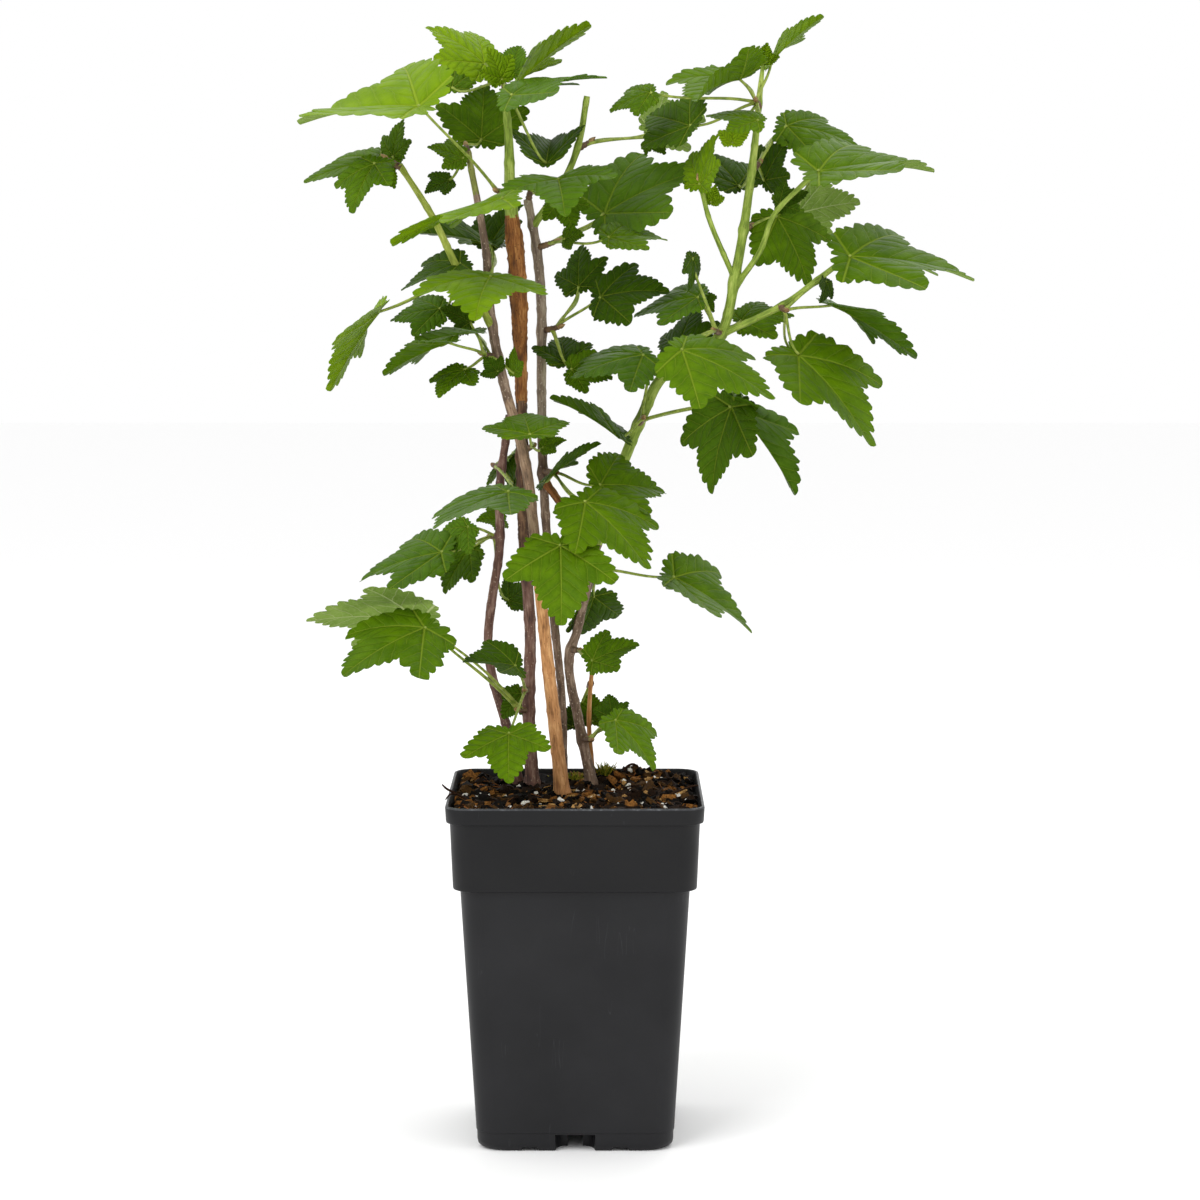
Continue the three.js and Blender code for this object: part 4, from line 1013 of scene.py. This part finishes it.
def leafFinish(name, light, dark, under=False):
    leaf = Finish(name, light, 0.75 if under else 0.5, gloss=0.06)
    spot = leaf.mark("leafPlace")
    x, y, chance = leaf.split(spot)
    aside = leaf.calc("ABSOLUTE", y)
    turn = leaf.calc("ARCTAN2", aside, x)
    reach = leaf.calc("SQRT", leaf.calc("MULTIPLY_ADD", x, x, leaf.calc("MULTIPLY", y, y)))
    first, second, third = leafSizes["ribs"]
    sideLobe = leaf.calc("GREATER_THAN", turn, second / 2)
    lowLobe = leaf.calc("GREATER_THAN", turn, (second + third) / 2)
    lowTurn = leaf.calc("MULTIPLY", lowLobe, third - second)
    rib = leaf.calc("MULTIPLY_ADD", sideLobe, second - first, lowTurn)
    off = leaf.calc("SUBTRACT", turn, rib)
    along = leaf.calc("MULTIPLY", reach, leaf.calc("COSINE", off))
    across = leaf.calc("MULTIPLY", reach, leaf.calc("ABSOLUTE", leaf.calc("SINE", off)))
    width = leaf.calc("MULTIPLY_ADD", along, -0.011, 0.015)
    mainRib = leaf.fade(across, leaf.calc("MULTIPLY", width, 0.45), leaf.calc("MULTIPLY", width, 1.25))
    bend = leaf.calc("MULTIPLY", leaf.grain(spot, 7, 2), 0.5)
    phase = leaf.calc("DIVIDE", leaf.calc("MULTIPLY_ADD", across, -0.95, along), 0.15)
    half = leaf.calc("MULTIPLY", leaf.calc("GREATER_THAN", leaf.calc("MULTIPLY", off, y), 0), 0.5)
    phase = leaf.calc("ADD", leaf.calc("ADD", phase, bend), leaf.calc("ADD", half, chance))
    band = leaf.calc("PINGPONG", phase, 0.5)
    sideRib = leaf.fade(band, 0.012, 0.06)
    puff = leaf.calc("SUBTRACT", 1.0, leaf.fade(band, 0.0, 0.34))
    net = leaf.fade(leaf.cells(spot, 21), 0.0, 0.09)
    ribs = leaf.calc("MAXIMUM", mainRib, leaf.calc("MULTIPLY", sideRib, 0.7 if under else 0.45))
    ribs = leaf.calc("MAXIMUM", ribs, leaf.calc("MULTIPLY", net, 0.2 if under else 0.12))
    shade = leaf.calc("MULTIPLY_ADD", leaf.grain(spot, 4.5, 4), 0.75, leaf.calc("MULTIPLY", chance, 0.25))
    blade = leaf.ramp(shade, [(0.32, dark), (0.62, light)])
    rim = leaf.blend(0.7, light, "c3cf92") if under else leaf.blend(0.45, light, "a9b840")
    # Painted shade: the blade is darkened in the valleys along the side veins, between the bulges of the
    # puckered blade
    paintedValleyShade = leaf.calc("MULTIPLY", leaf.calc("SUBTRACT", 1.0, puff), 0.1 if under else 0.4)
    blade = leaf.blend(paintedValleyShade, blade, dark)
    leaf.color(leaf.blend(leaf.calc("MULTIPLY", ribs, 0.9 if under else 0.6), blade, rim))
    raised = ribs if under else leaf.calc("SUBTRACT", 1.0, ribs)
    height = leaf.calc("MULTIPLY_ADD", puff, -0.5 if under else 0.9, raised)
    leaf.relief(height, 0.5, 0.9)
    return leaf


# One half of the outline, from the notch to the tip, with its teeth
def halfEdge(rng):
    start = np.array([-leafSizes["notch"], 0.0])
    made = []
    for part in leafSizes["edge"]:
        spread = leafSizes["lobeSpread" if part["points"] > 0 else "baySpread"]
        if part["to"][1] == 0:
            spread = (1, 1)
        stretch = rng.uniform(*spread)
        via, end = np.array(part["via"]) * stretch, np.array(part["to"]) * stretch
        teeth, size = part["teeth"], leafSizes["tooth"] * rng.uniform(*leafSizes["toothSize"])
        cuts = np.cumsum(rng.uniform(*leafSizes["toothGap"], teeth))
        cuts = np.concatenate([[0], cuts / cuts[-1]])
        for a, b in zip(cuts, cuts[1:]):
            runs, outs = leafSizes["toothRun"], leafSizes["toothOut"]
            grown = size * rng.uniform(*leafSizes["toothGrowth"])
            if part["points"] < 0:
                runs, outs = (0, *(1 - r for r in runs[:0:-1])), (0, *outs[:0:-1])
            for run, out in zip(runs, outs):
                t = a + (b - a) * run
                spot = (1 - t) ** 2 * start + 2 * t * (1 - t) * via + t * t * end
                slope = (1 - t) * (via - start) + t * (end - via)
                away = np.array([-slope[1], slope[0]]) / np.linalg.norm(slope)
                stands = 0 if a + run == 0 else 1
                made.append(spot + away * grown * (out - leafSizes["toothSink"]) * (b - a) * teeth * stands)
        start = end
    return np.array(made)


def outlineOf(rng):
    left, right = halfEdge(rng), halfEdge(rng)
    right[:, 1] *= -1
    return np.concatenate([right, [(1.0, 0.0)], left[:0:-1]])


def bladeHeight(x, y, rng, fold, droop):
    reach = np.hypot(x, y)
    turn = np.arctan2(y, x)
    soft = leafSizes["soft"]
    rise = fold * (np.sqrt(y * y + soft * soft) - soft) - droop * reach ** 2
    ribs = np.array(sorted({s * r for r in leafSizes["ribs"] for s in (-1, 1)}))
    near = np.abs(turn[:, None] - ribs[None, :])
    off = near.min(axis=1)
    two = np.sort(near, axis=1)[:, :2].sum(axis=1)
    rise += leafSizes["arch"] * reach * np.sin(np.pi * np.clip(off / np.maximum(two, 1e-6), 0, 0.5))
    across = reach * np.sin(np.minimum(off, 1.5))
    rise -= leafSizes["groove"] * np.exp(-(across / 0.018) ** 2) * (1 - 0.6 * reach)
    a, b, c = rng.uniform(0, 2 * math.pi, 3)
    rise += leafSizes["wave"] * reach * (np.sin(2 * turn + a) + 0.6 * np.sin(3 * turn + b))
    rise += leafSizes["ruffle"] * reach ** 3 * np.sin(13 * turn + c)
    return rise


def addLeaf(heap, joint, pose, length, fold, tone, rng):
    sameBelow = 90 < abs(pose[2]) <= leafSizes["mostRoll"]
    edge = outlineOf(rng)
    count = len(edge)
    shares = leafSizes["rings"]
    flat = np.concatenate([edge * share for share in shares] + [[(0.0, 0.0)]])
    x, y = flat.T
    folded = fold + rng.uniform(-leafSizes["foldSpread"], leafSizes["foldSpread"])
    rise = bladeHeight(x, y, rng, folded, leafSizes["droop"] * rng.uniform(*leafSizes["droopSpread"]))
    along, out, side = leafAxes(*pose, x)
    middle = joint + length * (np.outer(x, along) + y[:, None] * side + rise[:, None] * out)
    half = leafSizes["half"] * out
    rings, k = len(shares), np.arange(count)
    after = (k + 1) % count
    quads = np.concatenate([
        np.stack([low + k, low + count + k, low + count + after, low + after], 1)
        for low in range(0, (rings - 1) * count, count)])
    fan = np.stack([np.full(count, rings * count), k, after], 1)
    total, rim = len(flat), (rings - 1) * count
    edgeQuads = np.stack([rim + k, total + rim + k, total + rim + after, rim + after], 1)
    marks = np.stack([x, y, np.full(total, rng.uniform())], 1)
    heap.add(middle + half, [quads, fan], tone, marks)
    heap.add(middle - half, [quads[:, ::-1], fan[:, ::-1]], tone if sameBelow else len(leafTones), marks)
    heap.add([], [edgeQuads - 2 * total], tone)


# Directions of a leaf: along its midrib, out of its upper face, and to its side.
# A leaf that shows its upper face has lost some of its roll where its blade starts.
def leafAxes(heading, lean, roll, x=1.0):
    turn, tip = math.radians(heading), math.radians(lean)
    twist = 0 if abs(roll) > leafSizes["mostRoll"] else leafSizes["twist"]
    spin = np.radians(roll * (1 - twist * (1 - np.asarray(x))))[..., None]
    along = np.array([math.cos(turn) * math.cos(tip), -math.sin(tip), math.sin(turn) * math.cos(tip)])
    facing = unit(np.array([0, -1, 0]) + along * along[1])
    aside = np.cross(facing, along)
    out = facing * np.cos(spin) + aside * np.sin(spin)
    return along, out, np.cross(out, along)


# Evenly spread numbers from a seed, the same on every run
def seeded(state):
    while True:
        state = (state * 1664525 + 1013904223) % 4294967296
        yield state / 4294967296


twin = {"size": 0.75, "turn": 4, "firstSeed": 100}


# The leaves of a spray with their tones, and the second leaves behind some of them
def leavesOf(spray, index):
    numbers = seeded(twin["firstSeed"] + index)
    made = []
    for tone, row in zip(spray["tones"], spray["leaves"]):
        right, up, back, length, heading, lean, roll, fold, *behind = row
        made.append(((right, up, back), length, (heading, lean, roll), fold, tone))
        if behind:
            pose = (heading + twin["turn"] * (2 * next(numbers) - 1), lean, roll)
            # the second leaf behind takes the dark tone d, painted shade
            made.append(((right, up, back + behind[0]), length * twin["size"], pose, fold, "d"))
    return made


stalkSizes = {
    "sides": 8, "steps": 12, "spurFoot": 2.1, "spurTip": 1.5, "spurSides": 10, "spread": 0.55, "bud": 5.5,
    # half thickness at shares of the length
    "shares": [0, 0.08, 0.9, 1], "halves": [1.5, 0.95, 0.75, 0.85],
}


def stalkLine(start, joint, along, out):
    reach = np.linalg.norm(joint - start)
    first = start + (joint - start) * 0.35 + np.array([0, 0, 0.05 * reach])
    second = joint + (start - joint) * 0.24 - along * 0.14 * reach - out * 0.12 * reach
    steps = np.linspace(0, 1, stalkSizes["steps"] + 1)[:, None]
    points = ((1 - steps) ** 3 * start + 3 * steps * (1 - steps) ** 2 * first
              + 3 * steps ** 2 * (1 - steps) * second + steps ** 3 * joint)
    return Limb(points, np.interp(steps[:, 0], stalkSizes["shares"], stalkSizes["halves"]))


def addBud(heap, foot, along, size, finish):
    line = Limb([foot, foot + along * size * 0.35, foot + along * size * 0.7, foot + along * size],
                [size * 0.2, size * 0.3, size * 0.2, size * 0.03])
    heap.add(*limbRings(line, 8, size * 0.12)[:2], finish)


def buildSprays(limbs):
    tones = list(leafTones)
    finishes = [leafFinish("leaf_" + t, *leafTones[t]) for t in tones]
    finishes.append(leafFinish("leaf_underside", "86a04a", "6e8a36", under=True))
    stalk = stalkFinishes()
    for region in dict.fromkeys(spray["region"] for spray in sprays):
        leafHeap, stalkHeap = Heap(), Heap()
        names = []
        for index, spray in enumerate(sprays):
            if spray["region"] != region:
                continue
            names.append(spray["name"])
            rng = np.random.default_rng(twin["firstSeed"] + index)
            foot = limbs[spray["limb"]].atHeight(spray["up"])
            tip = place(*spray["spur"])
            spur = Limb([foot, foot + (tip - foot) * 0.5, tip],
                        [stalkSizes["spurFoot"], stalkSizes["spurFoot"] * 0.9, stalkSizes["spurTip"]])

            def ringed(turn, run):
                lump = noise.noise(Vector((math.cos(turn) * 2, math.sin(turn) * 2, run)))
                return 1 + 0.1 * math.sin(run * 2.6) + 0.1 * lump

            stalkHeap.add(*limbRings(spur, stalkSizes["spurSides"], 0.8, ringed)[:2], 1)
            addBud(stalkHeap, tip, unit(tip - foot + np.array([0, 0, 2.0])), stalkSizes["bud"], 2)
            leaves = leavesOf(spray, index)
            for k, (spot, length, pose, fold, tone) in enumerate(leaves):
                joint = place(*spot)
                along, out, _ = leafAxes(*pose)
                start = foot + (tip - foot) * (1 - stalkSizes["spread"] * k / len(leaves))
                line = stalkLine(start, joint, along, out)
                step = line.length / stalkSizes["steps"]
                stalkHeap.add(*limbRings(line, stalkSizes["sides"], step)[:2], 0)
                addLeaf(leafHeap, joint, pose, length, fold, tones.index(tone), rng)
        leafHeap.piece(region + "_leaf_blades", finishes, "leaf", names, mark="leafPlace", sharp=62)
        stalkHeap.piece(region + "_leaf_stalks", stalk, "leaf", names)
        print(region, "leaves made")


def stalkFinishes():
    made = []
    for name, dark, light in (("stalk_green", "6f8426", "a4b24e"), ("spur_bark", "4a3526", "7c6244"),
                              ("bud_scales", "6a4a2c", "b0905c")):
        skin = Finish(name, light, 0.55, gloss=0.4)
        grain = skin.grain(skin.where(), 260, 4)
        skin.color(skin.ramp(grain, [(0.35, dark), (0.65, light)]))
        skin.relief(skin.grain(skin.where(), 1500, 3), 0.12, 0.6)
        made.append(skin)
    return made


limbs = {}
for index, row in enumerate(stems + boughs):
    buildLimb(row, index, limbs)
print("limbs made")
buildSprays(limbs)


# Light and floor

lightSizes = {
    "sky": 1.0,
    # name, place, size, power in watts
    "lamps": [
        ("key_light", (-1.3, -1.7, 1.9), 1.4, 30), ("fill_light", (1.9, -1.2, 1.0), 1.6, 8),
        ("back_light", (0.4, 1.9, 1.6), 1.6, 10)],
}

world = bpy.data.worlds.new("studio")
world.use_nodes = True
world.node_tree.nodes["Background"].inputs[0].default_value = (1, 1, 1, 1)
world.node_tree.nodes["Background"].inputs[1].default_value = lightSizes["sky"]
scene.world = world
for name, spot, size, power in lightSizes["lamps"]:
    lampData = bpy.data.lights.new(name, "AREA")
    lampData.size, lampData.energy = size, power
    lamp = bpy.data.objects.new(name, lampData)
    lamp.location = spot
    lamp.rotation_euler = (Vector((0, 0, 0.35)) - lamp.location).to_track_quat("-Z", "Y").to_euler()
    scene.collection.objects.link(lamp)

floorMesh = bpy.data.meshes.new("floor")
floorMesh.from_pydata([(-8, -8, 0), (8, -8, 0), (8, 8, 0), (-8, 8, 0)], [], [(0, 1, 2, 3)])
floor = bpy.data.objects.new("floor", floorMesh)
scene.collection.objects.link(floor)
floorMesh.materials.append(Finish("floor_white", "fcfcfc", 0.9, gloss=0.1).material)
scene.view_settings.view_transform = "Standard"
print("light and floor set")
